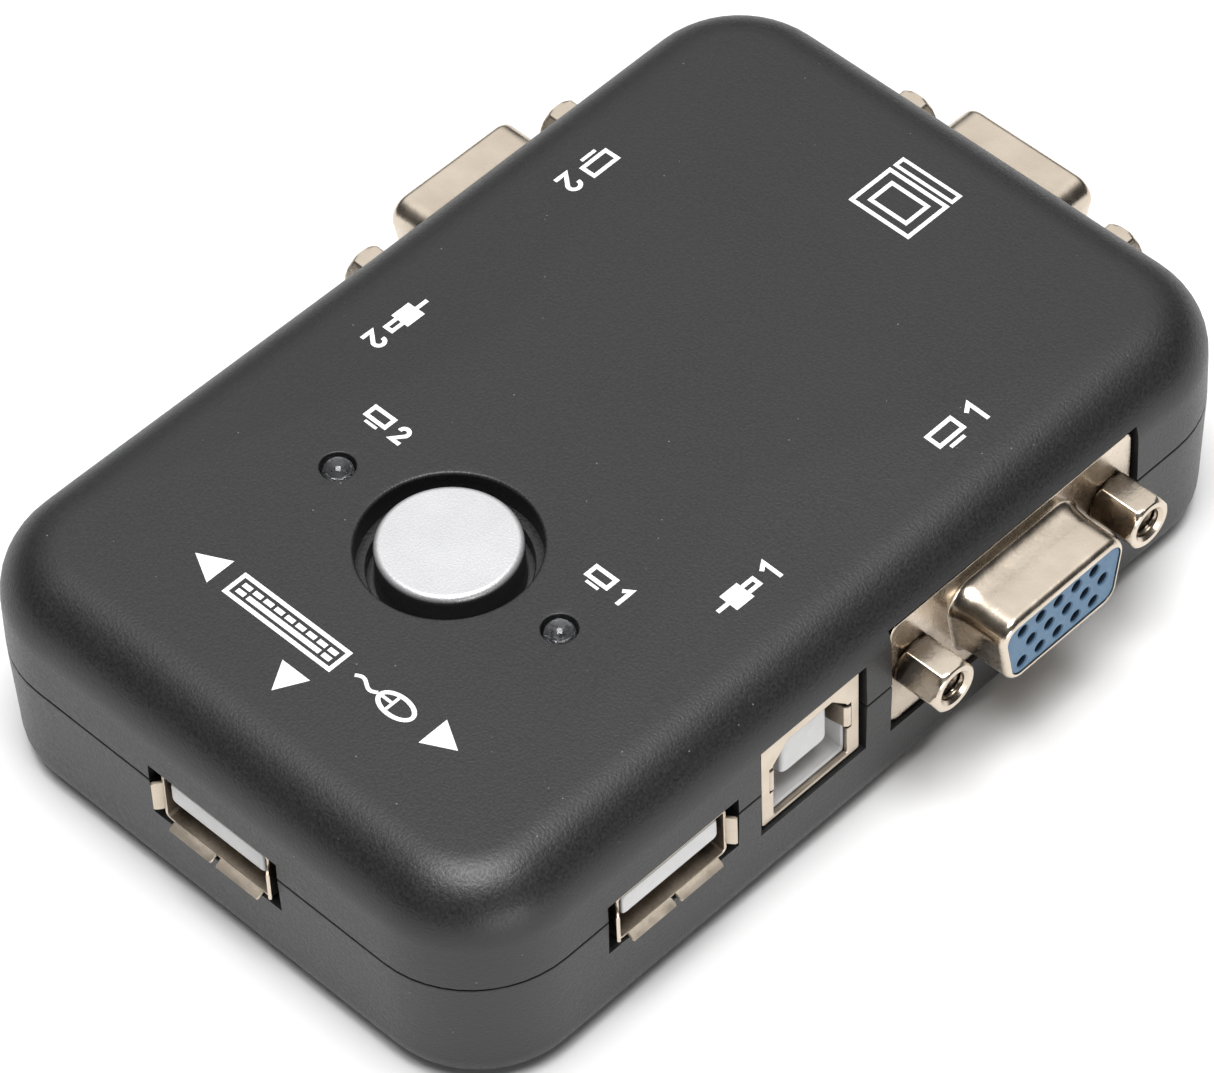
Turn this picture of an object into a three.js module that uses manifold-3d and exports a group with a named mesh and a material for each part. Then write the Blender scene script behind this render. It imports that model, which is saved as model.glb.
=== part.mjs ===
// Two-port VGA and USB switch box: a rounded two-part case with a push button on top, three VGA
// sockets, three USB-A sockets and two USB-B sockets around its sides, and a circuit board inside.
// Units are millimetres. +X is the source 1 side, +Y the monitor end, +Z up, base on z = 0.

import * as THREE from "three";
import { mergeVertices } from "three/addons/utils/BufferGeometryUtils.js";
import Module from "manifold-3d";

const wasm = await Module();
wasm.setup();

// ---- driving dimensions ----
const WIDTH = 63.5;
const LENGTH = 97.5;
const HEIGHT = 24.5;
const SEAM_Z = 14;
const CORNER_R = 10.6;
const WALL = 2;
const GAP = 0.3;
const TOP_FILLET = 6;
const TOP_WALL = 2.2;
const BASE_FILLET = 3.3;
const FLOOR = 2;
const UPPER_DRAFT = 1;
const LOWER_DRAFT = 1.7;
const LIP_HEIGHT = 1.4;
const LIP_THICK = 0.8;

// Shallow waisted relief on the lid: flat middle, side wings falling gently away.
const WAIST_HALF = 14.2;
const WAIST_SPREAD = 0.37;
const WAIST_BLEND = 1.5;
const WAIST_Y = 0.5;
const WING_SLOPE = 0.035;

const BUTTON_Y = -19.5;
const WELL_R = 8.1;
const WELL_DEPTH = 2.5;
const LEDGE_R = 7.2;
const LEDGE_THICK = 1.2;
const CAP_R = 6.45;
const CAP_EDGE = 0.6;
const CAP_TOP = 25;
const CAP_SKIRT_R = 8;
const CAP_SKIRT_HEIGHT = 0.9;
const CAP_WALL = 1.2;
const CAP_CEILING = 22.9;
const CAP_HUB = { radius: 3.2, bottom: 19.2 };
const BUTTON_TRAVEL = 1.5;

const LED_X = 13.3;
const LED_Y = -19.7;
const LED_R = 1.45;
const LED_TOP = 25;
const LED_HOLE_R = 1.6;
const LED_HEIGHT = 5.2;
const LED_FLANGE = { radius: 1.9, height: 1 };
const LED_LEAD = { offset: 1.27, half: 0.25 };

const BOARD_TOP = 7.9;
const BOARD_THICK = 1.6;
const BOARD_HALF_X = 29.2;
const BOARD_HALF_Y = 46.2;
const BOARD_CORNER_R = 8.2;
const LEAD_BELOW = 1;
const CHIP_SPOTS = { video_chip_1: [-7, 20], video_chip_2: [7, 20], usb_chip: [0, -3] };
const CRYSTAL_SPOT = [0, 8];
const CAPACITOR_SPOTS = [[-8.5, 7], [9.5, 7]];

const SWITCH = { half: 4.25, bottom: BOARD_TOP + GAP, top: 14.2, bore: 2, floor: 9, notch: 0.6 };
const STEM = {
  half: 1.7,
  bottom: SWITCH.floor + BUTTON_TRAVEL + GAP,
  top: 22.3,
  collarR: 3.2,
  collar: [18.1, 18.9],
};
const SPRING = { radius: 2.75, wire: 0.25, turns: 3 };

const SCREW_X = 24.4;
const SCREW_Y = 41;
const SCREW_R = 1.15;
const SCREW_HEAD_R = 2.2;
const SCREW_HEAD_DEPTH = 3.5;
const SCREW_TIP = 18.9;
const PILOT_TOP = 19.5;
const POST_R = 3.3;
const TRAY_POST_TOP = 12.9;
const LID_POST_BOTTOM = 13.2;

// 15-way D socket with 4-40 jackscrews.
const VGA_Y = 17;
const VGA_Z = 13.85;
const VGA_RECESS = 0.55;
const VGA_FLANGE = { width: 30.8, height: 12.5, thick: 0.8, corner: 1 };
const VGA_OPENING = { width: 31.5, height: 13.1 };
const VGA_D = { width: 16.33, height: 7.9, corner: 2.1, reach: 6, wall: 0.8 };
const VGA_SIDE_ANGLE = 10;
const PIN_PITCH = 2.29;
const PIN_ROW = 1.98;
const PIN_HOLE_R = 0.62;
const JACK_SPACING = 24.99;
const JACK_FLATS = 4.76;
const JACK_REACH = 4.8;
const JACK_SHANK_R = 1.42;
const JACK_BORE_R = 1.4;

const USB_A_Y = -25.4;
const USB_A_X = 0.7;
const USB_A_Z = 12.35;
const USB_A_RECESS = 0.3;
const USB_A = { width: 13.1, height: 5.7, depth: 14, wall: 0.3 };
const USB_A_FLARE = { reach: 0.85, sideRise: 0.7, baseRise: 0.55 };
const USB_A_LIP = { centre: 2.85, half: 2.65 };
const USB_A_TAB_HALF = 1.8;
const USB_A_FINGER = { centre: 3, slotHalf: 1.5, half: 1.1, back: -6.5, root: -6.2, front: -2.2 };
const USB_A_LEG = 8;
const USB_A_TONGUE = { width: 11.4, top: 2.1, height: 2.4, reach: 8.6 };
const USB_A_OPENING = { width: 15.6, height: 6.3 };

const USB_B_Y = -8.35;
const USB_B_Z = 13.3;
const USB_B_RECESS = 0.5;
const USB_B = { width: 12, height: 10.2, depth: 16, lip: 0.35 };
const USB_B_MOUTH = { width: 9.1, bottom: -4.6, top: 3.8, chamfer: 1.9 };
const USB_B_TONGUE = { width: 5.6, bottom: -1.7, top: 2.9 };
const USB_B_OPENING = { width: 13, height: 10.9 };
const USB_B_CAVITY = 9.4;
const USB_B_SPRING = { bottom: -1.2, top: 1.6, halfCut: 0.5 };
const USB_B_LEG = 9;
const LEG_HALF = 1;

const COLOURS = {
  case: [0x3b3b3d, 0.55, 0],
  silver: [0xd9d9db, 0.35, 0.6],
  nickel: [0xc9bfb0, 0.28, 1],
  blue: [0x6f96bd, 0.5, 0],
  tongue: [0xd6d3d0, 0.5, 0],
  lens: [0xe8ecee, 0.08, 0],
  board: [0x1f5a35, 0.5, 0],
  chip: [0x1a1a1c, 0.5, 0],
  steel: [0xb5b6ba, 0.3, 1],
  switchBody: [0x26262a, 0.5, 0],
  stem: [0xe3e1da, 0.5, 0],
};

// ---- solid helpers ----

function toSolid(geometry) {
  const bare = new THREE.BufferGeometry();
  bare.setAttribute("position", geometry.getAttribute("position"));
  if (geometry.index) bare.setIndex(geometry.index);
  const merged = mergeVertices(bare, 1e-4);
  const index = Array.from(merged.index.array);
  const triVerts = [];
  for (let i = 0; i < index.length; i += 3) {
    const [a, b, c] = index.slice(i, i + 3);
    if (a !== b && b !== c && a !== c) triVerts.push(a, b, c);
  }
  const vertProperties = new Float32Array(merged.getAttribute("position").array);
  return new wasm.Manifold(
    new wasm.Mesh({ numProp: 3, vertProperties, triVerts: new Uint32Array(triVerts) }),
  );
}

function toGeometry(solid) {
  const data = solid.getMesh();
  const geometry = new THREE.BufferGeometry();
  const positions = new Float32Array(data.numVert * 3);
  for (let i = 0; i < data.numVert; i++) {
    for (let k = 0; k < 3; k++) positions[i * 3 + k] = data.vertProperties[i * data.numProp + k];
  }
  geometry.setAttribute("position", new THREE.BufferAttribute(positions, 3));
  geometry.setIndex(Array.from(data.triVerts));
  return geometry;
}

function box(x0, x1, y0, y1, z0, z1) {
  const geometry = new THREE.BoxGeometry(x1 - x0, y1 - y0, z1 - z0);
  geometry.translate((x0 + x1) / 2, (y0 + y1) / 2, (z0 + z1) / 2);
  return toSolid(geometry);
}

// Upright cylinder standing between two heights.
function post(x, y, radius, z0, z1, sides = 20) {
  const geometry = new THREE.CylinderGeometry(radius, radius, z1 - z0, sides);
  geometry.rotateX(Math.PI / 2);
  geometry.translate(x, y, (z0 + z1) / 2);
  return toSolid(geometry);
}

// Cylinder lying along X between two stations.
function rod(y, z, radius, x0, x1, sides = 16) {
  const geometry = new THREE.CylinderGeometry(radius, radius, x1 - x0, sides);
  geometry.rotateZ(Math.PI / 2);
  geometry.translate((x0 + x1) / 2, y, z);
  return toSolid(geometry);
}

// Turned solid about Z from [radius, height] points that start and end on the axis.
function turned(profile, sides = 32) {
  const points = profile.map(([r, z]) => new THREE.Vector2(r, z));
  const geometry = new THREE.LatheGeometry(points, sides);
  geometry.rotateX(Math.PI / 2);
  return toSolid(geometry);
}

// Closed solid skinned over rings of equal point count, flat caps at both ends.
function loft(rings) {
  const count = rings[0].length;
  const positions = rings.flat(2);
  const index = [];
  for (let k = 0; k + 1 < rings.length; k++) {
    for (let i = 0; i < count; i++) {
      const j = (i + 1) % count;
      const [a, b, c, d] = [k * count + i, k * count + j, (k + 1) * count + j, (k + 1) * count + i];
      index.push(a, b, c, a, c, d);
    }
  }
  addCap(index, rings[0], 0, true);
  addCap(index, rings.at(-1), (rings.length - 1) * count, false);
  const geometry = new THREE.BufferGeometry();
  geometry.setAttribute("position", new THREE.Float32BufferAttribute(positions, 3));
  geometry.setIndex(index);
  return toSolid(geometry);
}

function addCap(index, ring, offset, flipped) {
  const contour = ring.map(([x, y]) => new THREE.Vector2(x, y));
  for (const [a, b, c] of THREE.ShapeUtils.triangulateShape(contour, [])) {
    if (flipped) index.push(offset + a, offset + c, offset + b);
    else index.push(offset + a, offset + b, offset + c);
  }
}

// Rounded rectangle outline, counter-clockwise, with extra points along the long and short sides.
function outline(halfX, halfY, radius, steps = 6, longStops = 0, shortStops = 0) {
  const points = [];
  const centres = [[1, 1, 0], [-1, 1, 90], [-1, -1, 180], [1, -1, 270]];
  centres.forEach(([sx, sy, start], corner) => {
    const cx = sx * (halfX - radius);
    const cy = sy * (halfY - radius);
    for (let k = 0; k <= steps; k++) {
      const angle = THREE.MathUtils.degToRad(start + (90 * k) / steps);
      points.push([cx + radius * Math.cos(angle), cy + radius * Math.sin(angle)]);
    }
    const short = corner % 2 === 0;
    const stops = short ? shortStops : longStops;
    for (let k = 1; k <= stops; k++) {
      const t = 1 - (2 * k) / (stops + 1);
      if (short) points.push([sx * t * (halfX - radius), sy * halfY]);
      else points.push([sx * halfX, sy * t * (halfY - radius)]);
    }
  });
  return points;
}

// Shape in the Y-Z plane pushed along X between two stations.
function pushedX(points, x0, x1) {
  const shape = new THREE.Shape(points.map(([y, z]) => new THREE.Vector2(y, z)));
  const geometry = new THREE.ExtrudeGeometry(shape, { depth: x1 - x0, bevelEnabled: false });
  geometry.applyMatrix4(new THREE.Matrix4().set(0, 0, 1, x0, 1, 0, 0, 0, 0, 1, 0, 0, 0, 0, 0, 1));
  return toSolid(geometry);
}

function joined(parts) {
  return parts.reduce((sum, part) => sum.add(part));
}

function cut(solid, tools) {
  return tools.reduce((rest, tool) => rest.subtract(tool), solid);
}

function piece(name, solid, colour, placement = null) {
  const geometry = toGeometry(solid);
  if (placement) geometry.applyMatrix4(placement);
  const flat = geometry.toNonIndexed();
  flat.computeVertexNormals();
  const [color, roughness, metalness] = COLOURS[colour];
  const mesh = new THREE.Mesh(flat, new THREE.MeshStandardMaterial({ color, roughness, metalness }));
  mesh.name = name;
  return mesh;
}

// ---- case ----

function waistHalf(y) {
  const rise = WAIST_SPREAD * (y - WAIST_Y);
  return WAIST_HALF + Math.hypot(rise, WAIST_BLEND) - WAIST_BLEND;
}

function wingDrop(x, y) {
  return WING_SLOPE * Math.max(0, Math.abs(x) - waistHalf(y));
}

function caseRing(inset, z) {
  return outline(WIDTH / 2 - inset, LENGTH / 2 - inset, CORNER_R - inset, 6, 9, 1)
    .map(([x, y]) => [x, y, z]);
}

// Inset and height pairs around a quarter fillet that starts on a drafted wall.
function filletSteps(startInset, centreZ, radius, direction, steps) {
  const out = [];
  for (let k = 0; k <= steps; k++) {
    const angle = (Math.PI / 2) * (k / steps);
    const inset = startInset + radius * (1 - Math.cos(angle));
    out.push([inset, centreZ + direction * radius * Math.sin(angle)]);
  }
  return out;
}

function lidSkin() {
  const bottom = SEAM_Z + GAP / 2;
  const filletZ = HEIGHT - TOP_FILLET;
  const draft = Math.tan(THREE.MathUtils.degToRad(UPPER_DRAFT)) * (filletZ - bottom);
  const profile = [[0, bottom], ...filletSteps(draft, filletZ, TOP_FILLET, 1, 6)];
  const edge = WIDTH / 2 - draft - TOP_FILLET;
  const rings = profile.map(([inset, z]) => {
    const share = (z - bottom) / (HEIGHT - bottom);
    return caseRing(inset, z).map(([x, y]) => {
      const onFlat = Math.sign(x) * Math.min(Math.abs(x), edge);
      return [x, y, z - share * wingDrop(onFlat, y)];
    });
  });
  const crease = caseRing(draft + TOP_FILLET + 0.6, HEIGHT).map(([x, y, z]) => {
    return [Math.sign(x) * Math.min(Math.abs(x), waistHalf(y)), y, z];
  });
  return loft([...rings, crease]);
}

function lidHollow() {
  const ceiling = HEIGHT - TOP_WALL;
  const radius = TOP_FILLET - WALL;
  const steps = filletSteps(WALL + 0.1, ceiling - radius, radius, 1, 3);
  return loft([[WALL, SEAM_Z - 1], ...steps].map(([inset, z]) => caseRing(inset, z)));
}

// Space cleared in the lid for the locating lip of the tray.
function lipSpace() {
  const inset = WALL - LIP_THICK - GAP;
  const top = SEAM_Z + LIP_HEIGHT + GAP;
  return loft([caseRing(inset, SEAM_Z - 1), caseRing(inset, top)]);
}

function screwSpots() {
  return [[1, 1], [-1, 1], [-1, -1], [1, -1]].map(([sx, sy]) => [sx * SCREW_X, sy * SCREW_Y]);
}

// The connector openings, shared by lid and tray.
function wallOpenings() {
  const side = WIDTH / 2;
  const end = LENGTH / 2;
  const vga = VGA_OPENING.width / 2;
  const vgaZ = [VGA_Z - VGA_OPENING.height / 2, VGA_Z + VGA_OPENING.height / 2];
  const usbA = USB_A_OPENING.width / 2;
  const usbAZ = [USB_A_Z - USB_A_OPENING.height / 2, USB_A_Z + USB_A_OPENING.height / 2];
  const usbB = USB_B_OPENING.width / 2;
  const usbBZ = [USB_B_Z - USB_B_OPENING.height / 2, USB_B_Z + USB_B_OPENING.height / 2];
  const tools = [
    box(-vga, vga, end - 4, end + 1, ...vgaZ),
    box(USB_A_X - usbA, USB_A_X + usbA, -end - 1, -end + 4, ...usbAZ),
  ];
  for (const [x0, x1] of [[side - 4, side + 1], [-side - 1, -side + 4]]) {
    tools.push(box(x0, x1, VGA_Y - vga, VGA_Y + vga, ...vgaZ));
    tools.push(box(x0, x1, USB_A_Y - usbA, USB_A_Y + usbA, ...usbAZ));
    tools.push(box(x0, x1, USB_B_Y - usbB, USB_B_Y + usbB, ...usbBZ));
  }
  return tools;
}

function topShell() {
  const ceiling = HEIGHT - TOP_WALL;
  const ledgeTop = HEIGHT - WELL_DEPTH;
  const ledgeBottom = ledgeTop - LEDGE_THICK;
  const hollow = cut(lidSkin(), [lidHollow(), lipSpace()]);
  const posts = screwSpots().map(([x, y]) => post(x, y, POST_R, LID_POST_BOTTOM, ceiling + 0.5));
  const collar = post(0, BUTTON_Y, WELL_R + 1.3, ledgeBottom, ceiling + 0.5, 40);
  const pilots = screwSpots().map(([x, y]) => post(x, y, SCREW_R + GAP, 13, PILOT_TOP, 12));
  const leds = [-1, 1].map((s) => post(s * LED_X, LED_Y, LED_HOLE_R, 15, HEIGHT + 1, 20));
  return cut(joined([hollow, collar, ...posts]), [
    ...pilots,
    ...leds,
    post(0, BUTTON_Y, WELL_R, ledgeTop, HEIGHT + 1, 40),
    post(0, BUTTON_Y, LEDGE_R, 15, HEIGHT + 1, 40),
    ...wallOpenings(),
  ]);
}

function traySkin() {
  const top = SEAM_Z - GAP / 2;
  const draft = Math.tan(THREE.MathUtils.degToRad(LOWER_DRAFT)) * (top - BASE_FILLET);
  const steps = filletSteps(draft, BASE_FILLET, BASE_FILLET, -1, 5).reverse();
  return loft([...steps, [0, top]].map(([inset, z]) => caseRing(inset, z)));
}

function trayHollow() {
  const steps = filletSteps(WALL + 0.3, FLOOR + 1.5, 1.5, -1, 3).reverse();
  return loft([...steps, [WALL, SEAM_Z + 1]].map(([inset, z]) => caseRing(inset, z)));
}

function trayLip() {
  const outer = WALL - LIP_THICK;
  const z0 = SEAM_Z - 2;
  const z1 = SEAM_Z + LIP_HEIGHT;
  return loft([caseRing(outer, z0), caseRing(outer, z1)])
    .subtract(loft([caseRing(WALL, z0 - 1), caseRing(WALL, z1 + 1)]));
}

function bottomShell() {
  const posts = screwSpots().map(([x, y]) => post(x, y, POST_R, 1, TRAY_POST_TOP));
  const shelves = screwSpots().map(([x, y]) => {
    return post(x, y, POST_R + 1.3, 1, BOARD_TOP - BOARD_THICK - GAP);
  });
  const bores = screwSpots().map(([x, y]) => post(x, y, SCREW_R + GAP, -1, 14, 12));
  const heads = screwSpots().map(([x, y]) => {
    return post(x, y, SCREW_HEAD_R + GAP, -1, SCREW_HEAD_DEPTH, 16);
  });
  const hollow = traySkin().subtract(trayHollow());
  return cut(joined([hollow, trayLip(), ...posts, ...shelves]), [
    ...bores,
    ...heads,
    ...wallOpenings(),
  ]);
}

// Pan-head self-tapping screw, driven upward from under the base.
function caseScrew() {
  const shoulder = SCREW_HEAD_DEPTH - GAP;
  const body = turned([
    [0, 1.5], [1.5, 1.5], [SCREW_HEAD_R - 0.2, 1.9], [SCREW_HEAD_R, 2.4], [SCREW_HEAD_R, shoulder],
    [SCREW_R, shoulder], [SCREW_R, SCREW_TIP - 1.3], [0.4, SCREW_TIP], [0, SCREW_TIP],
  ], 12);
  const slots = [box(-1.3, 1.3, -0.25, 0.25, 1, 2.3), box(-0.25, 0.25, -1.3, 1.3, 1, 2.3)];
  return cut(body, slots);
}

// ---- button and switch ----

function buttonCap() {
  const skirtTop = HEIGHT - WELL_DEPTH - LEDGE_THICK - GAP;
  const skirtBottom = skirtTop - CAP_SKIRT_HEIGHT;
  const edge = [1, 2, 3, 4].map((k) => {
    const angle = (Math.PI / 2) * (k / 4);
    return [
      CAP_R - CAP_EDGE * (1 - Math.cos(angle)),
      CAP_TOP - CAP_EDGE * (1 - Math.sin(angle)),
    ];
  });
  const outer = turned([
    [0, skirtBottom], [CAP_SKIRT_R, skirtBottom], [CAP_SKIRT_R, skirtTop], [CAP_R, skirtTop],
    [CAP_R, CAP_TOP - CAP_EDGE], ...edge, [0, CAP_TOP],
  ], 36);
  const hollow = post(0, 0, CAP_R - CAP_WALL, skirtBottom - 1, CAP_CEILING, 32);
  const hub = post(0, 0, CAP_HUB.radius, CAP_HUB.bottom, CAP_CEILING + 0.3, 24);
  const socket = STEM.half + GAP;
  const bore = box(-socket, socket, -socket, socket, skirtBottom - 1, STEM.top + GAP);
  return outer.subtract(hollow).add(hub).subtract(bore);
}

function switchBody() {
  const { half, bottom, top, bore, floor, notch } = SWITCH;
  const block = box(-half, half, -half, half, bottom, top);
  const inner = half - notch;
  const corners = [[1, 1], [-1, 1], [-1, -1], [1, -1]].map(([sx, sy]) => {
    const [cx, cy] = [sx * half, sy * half];
    return box(cx - notch, cx + notch, cy - notch, cy + notch, bottom + 1.5, top + 1);
  });
  const rim = box(-inner, inner, -inner, inner, top - 0.1, top + 0.1);
  return cut(block.add(rim), [...corners, box(-bore, bore, -bore, bore, floor, top + 1)]);
}

function switchStem() {
  const { half, bottom, top, collarR, collar } = STEM;
  return box(-half, half, -half, half, bottom, top).add(post(0, 0, collarR, ...collar, 20));
}

// Coil return spring standing on the switch body around the stem.
function returnSpring() {
  const z0 = SWITCH.top + 0.1 + GAP + SPRING.wire;
  const z1 = STEM.collar[0] - GAP - SPRING.wire;
  const points = [];
  const steps = SPRING.turns * 14;
  for (let k = 0; k <= steps; k++) {
    const angle = (2 * Math.PI * SPRING.turns * k) / steps;
    const z = z0 + (z1 - z0) * (k / steps);
    const [x, y] = [SPRING.radius * Math.cos(angle), SPRING.radius * Math.sin(angle)];
    points.push(new THREE.Vector3(x, y, z));
  }
  const path = new THREE.CatmullRomCurve3(points);
  const wire = [];
  for (let k = 0; k < 6; k++) {
    const angle = (Math.PI / 3) * k;
    wire.push(new THREE.Vector2(SPRING.wire * Math.cos(angle), SPRING.wire * Math.sin(angle)));
  }
  const options = { steps, bevelEnabled: false, extrudePath: path };
  return toSolid(new THREE.ExtrudeGeometry(new THREE.Shape(wire), options));
}

function ledLens() {
  const bottom = LED_TOP - LED_HEIGHT;
  const dome = [];
  for (let k = 1; k <= 5; k++) {
    const angle = (Math.PI / 2) * (k / 5);
    dome.push([LED_R * Math.cos(angle), LED_TOP - LED_R * (1 - Math.sin(angle))]);
  }
  dome[4][0] = 0;
  const { radius, height } = LED_FLANGE;
  return turned([
    [0, bottom], [radius, bottom], [radius, bottom + height], [LED_R, bottom + height],
    [LED_R, LED_TOP - LED_R], ...dome,
  ], 18);
}

function ledLead(side) {
  const { offset, half } = LED_LEAD;
  const x = side * offset;
  const bottom = BOARD_TOP - BOARD_THICK - LEAD_BELOW;
  return box(x - half, x + half, -half, half, bottom, LED_TOP - LED_HEIGHT - GAP);
}

// ---- sockets, drawn looking outward along +X with the mating face near x = 0 ----

// D outline with the wide side up, moved inward evenly by the given amount.
function dOutline(inset, steps = 4) {
  const lean = Math.tan(THREE.MathUtils.degToRad(VGA_SIDE_ANGLE));
  const radius = Math.max(VGA_D.corner - inset, 0.4);
  const halfH = VGA_D.height / 2 - inset;
  const slant = inset / Math.cos(THREE.MathUtils.degToRad(VGA_SIDE_ANGLE)) - inset * lean;
  const top = VGA_D.width / 2 - slant;
  const bottom = top - 2 * halfH * lean;
  const corners = [[top, halfH], [-top, halfH], [-bottom, -halfH], [bottom, -halfH]];
  return roundedPolygon(corners, radius, steps);
}

// Rounds every corner of a counter-clockwise polygon.
function roundedPolygon(corners, radius, steps) {
  const points = [];
  corners.forEach((corner, i) => {
    const here = new THREE.Vector2(...corner);
    const before = new THREE.Vector2(...corners.at(i - 1)).sub(here).normalize();
    const after = new THREE.Vector2(...corners[(i + 1) % corners.length]).sub(here).normalize();
    const half = Math.acos(before.dot(after)) / 2;
    const centre = before.clone().add(after).normalize().multiplyScalar(radius / Math.sin(half));
    centre.add(here);
    const start = before.clone().multiplyScalar(radius / Math.tan(half)).add(here).sub(centre);
    const sweep = Math.PI - 2 * half;
    for (let k = 0; k <= steps; k++) {
      const arm = start.clone().rotateAround(new THREE.Vector2(), (sweep * k) / steps);
      points.push([centre.x + arm.x, centre.y + arm.y]);
    }
  });
  return points;
}

// Skins outlines of the Y-Z plane stacked along X.
function stackedX(layers) {
  const rings = layers.map(([x, points]) => points.map(([y, z]) => [y, z, x]));
  const solid = loft(rings);
  const geometry = toGeometry(solid);
  geometry.applyMatrix4(new THREE.Matrix4().set(0, 0, 1, 0, 1, 0, 0, 0, 0, 1, 0, 0, 0, 0, 0, 1));
  return toSolid(geometry);
}

function jackSpots() {
  return [-JACK_SPACING / 2, JACK_SPACING / 2];
}

function vgaShell() {
  const { width, height, thick, corner } = VGA_FLANGE;
  const plate = pushedX(outline(width / 2, height / 2, corner, 3), -thick, 0);
  const reach = VGA_D.reach;
  const barrel = stackedX([
    [-0.4, dOutline(-0.35)], [0.15, dOutline(-0.35)], [0.5, dOutline(0)], [reach - 0.6, dOutline(0)],
    [reach - 0.2, dOutline(0.18)], [reach, dOutline(0.5)],
  ]);
  const bore = stackedX([[-2, dOutline(VGA_D.wall)], [reach + 1, dOutline(VGA_D.wall)]]);
  const holes = jackSpots().map((y) => rod(y, 0, JACK_SHANK_R + GAP, -2, 1, 12));
  return cut(plate.add(barrel), [bore, ...holes]);
}

function pinSpots() {
  const spots = [];
  for (const [row, z] of [[0, PIN_ROW], [1, 0], [2, -PIN_ROW]]) {
    const start = -2 * PIN_PITCH - 0.57 + (row === 1 ? PIN_PITCH / 2 : 0);
    for (let k = 0; k < 5; k++) spots.push([start + k * PIN_PITCH, z]);
  }
  return spots;
}

function vgaInsert() {
  const face = VGA_D.reach - 0.15;
  const inset = VGA_D.wall + GAP;
  const nose = stackedX([[-2, dOutline(inset)], [face, dOutline(inset)]]);
  const rear = box(-10, -VGA_FLANGE.thick - GAP, -10.4, 10.4, BOARD_TOP + GAP - VGA_Z, 5);
  const holes = pinSpots().map(([y, z]) => rod(y, z, PIN_HOLE_R, face - 4.5, face + 1, 8));
  return cut(nose.add(rear), holes);
}

// Hexagonal 4-40 jackscrew with a threaded mouth and a shank through the flange.
function jackscrew() {
  const point = JACK_FLATS / Math.sqrt(3);
  const hexagon = [0, 1, 2, 3, 4, 5].map((k) => {
    const angle = (Math.PI / 3) * k;
    return [point * Math.cos(angle), point * Math.sin(angle)];
  });
  const head = pushedX(hexagon, GAP, JACK_REACH);
  const trim = rod(0, 0, point * 0.97, 0, JACK_REACH + 1, 24);
  const shank = rod(0, 0, JACK_SHANK_R, -4.5, 1, 12);
  const mouth = rod(0, 0, JACK_BORE_R, 1, JACK_REACH + 1, 12);
  return head.intersect(trim).add(shank).subtract(mouth);
}

// Strip of the flared USB-A mouth, bent outward from the tube wall and turned to its side.
function flare(centre, halfSpan, half, rise, turn) {
  const { wall } = USB_A;
  const { reach } = USB_A_FLARE;
  const section = [
    [-0.8, half - wall + 0.03], [0.1, half - wall + 0.03], [reach, half + rise - wall * 0.7],
    [reach, half + rise], [-0.1, half - 0.02], [-0.8, half - 0.02],
  ].map(([x, r]) => new THREE.Vector2(x, r));
  const options = { depth: 2 * halfSpan, bevelEnabled: false };
  const geometry = new THREE.ExtrudeGeometry(new THREE.Shape(section), options);
  geometry.translate(0, 0, -halfSpan);
  geometry.rotateX(Math.PI / 2);
  geometry.translate(0, centre, 0);
  geometry.rotateX(turn);
  return toSolid(geometry);
}

// The pair of tabs that stand a socket on the board, at a distance behind its mouth.
function solderLegs(distance, halfW, wall, socketZ, top) {
  const bottom = BOARD_TOP - BOARD_THICK - LEAD_BELOW - socketZ;
  return [-1, 1].map((s) => {
    const y = s * (halfW - wall / 2);
    return box(-distance - LEG_HALF, LEG_HALF - distance, y - wall / 2, y + wall / 2, bottom, top);
  });
}

function usbAShell() {
  const { width, height, depth, wall } = USB_A;
  const halfW = width / 2;
  const halfH = height / 2;
  const tube = box(-depth, 0, -halfW, halfW, -halfH, halfH)
    .subtract(box(-depth + wall, 1, -halfW + wall, halfW - wall, -halfH + wall, halfH - wall));
  const { sideRise, baseRise } = USB_A_FLARE;
  const lips = [-1, 1].flatMap((s) => [
    flare(s * USB_A_LIP.centre, USB_A_LIP.half, halfH, baseRise, Math.PI),
    flare(0, USB_A_TAB_HALF, halfW, sideRise, (s * Math.PI) / 2),
  ]);
  const legs = solderLegs(USB_A_LEG, halfW, wall, USB_A_Z, -halfH + 1);
  const { centre, slotHalf, half, back, root, front } = USB_A_FINGER;
  const fingers = [-1, 1].map((s) => {
    const y = s * centre;
    const slot = box(back, front, y - slotHalf, y + slotHalf, -halfH - 1, -halfH + wall + 0.2);
    return slot.subtract(box(root, front + 0.2, y - half, y + half, -halfH - 2, -halfH + wall + 1));
  });
  return cut(joined([tube, ...lips, ...legs]), fingers);
}

function usbAInsert() {
  const { width, height, depth, wall } = USB_A;
  const halfW = width / 2 - wall - GAP;
  const halfH = height / 2 - wall - GAP;
  const block = box(-depth + wall + GAP, -USB_A_TONGUE.reach, -halfW, halfW, -halfH, halfH);
  const { top, height: thick } = USB_A_TONGUE;
  const half = USB_A_TONGUE.width / 2;
  const profile = roundedPolygon([
    [half, top], [-half, top], [-half, top - thick], [half, top - thick],
  ], 0.4, 2);
  return block.add(pushedX(profile, -USB_A_TONGUE.reach - 0.5, -0.2));
}

function mouthOutline(grow) {
  const { width, bottom, top, chamfer } = USB_B_MOUTH;
  const half = width / 2 + grow;
  const high = top + grow;
  const low = bottom - grow;
  return [
    [half, high - chamfer], [half - chamfer, high], [-half + chamfer, high],
    [-half, high - chamfer], [-half, low], [half, low],
  ];
}

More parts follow.
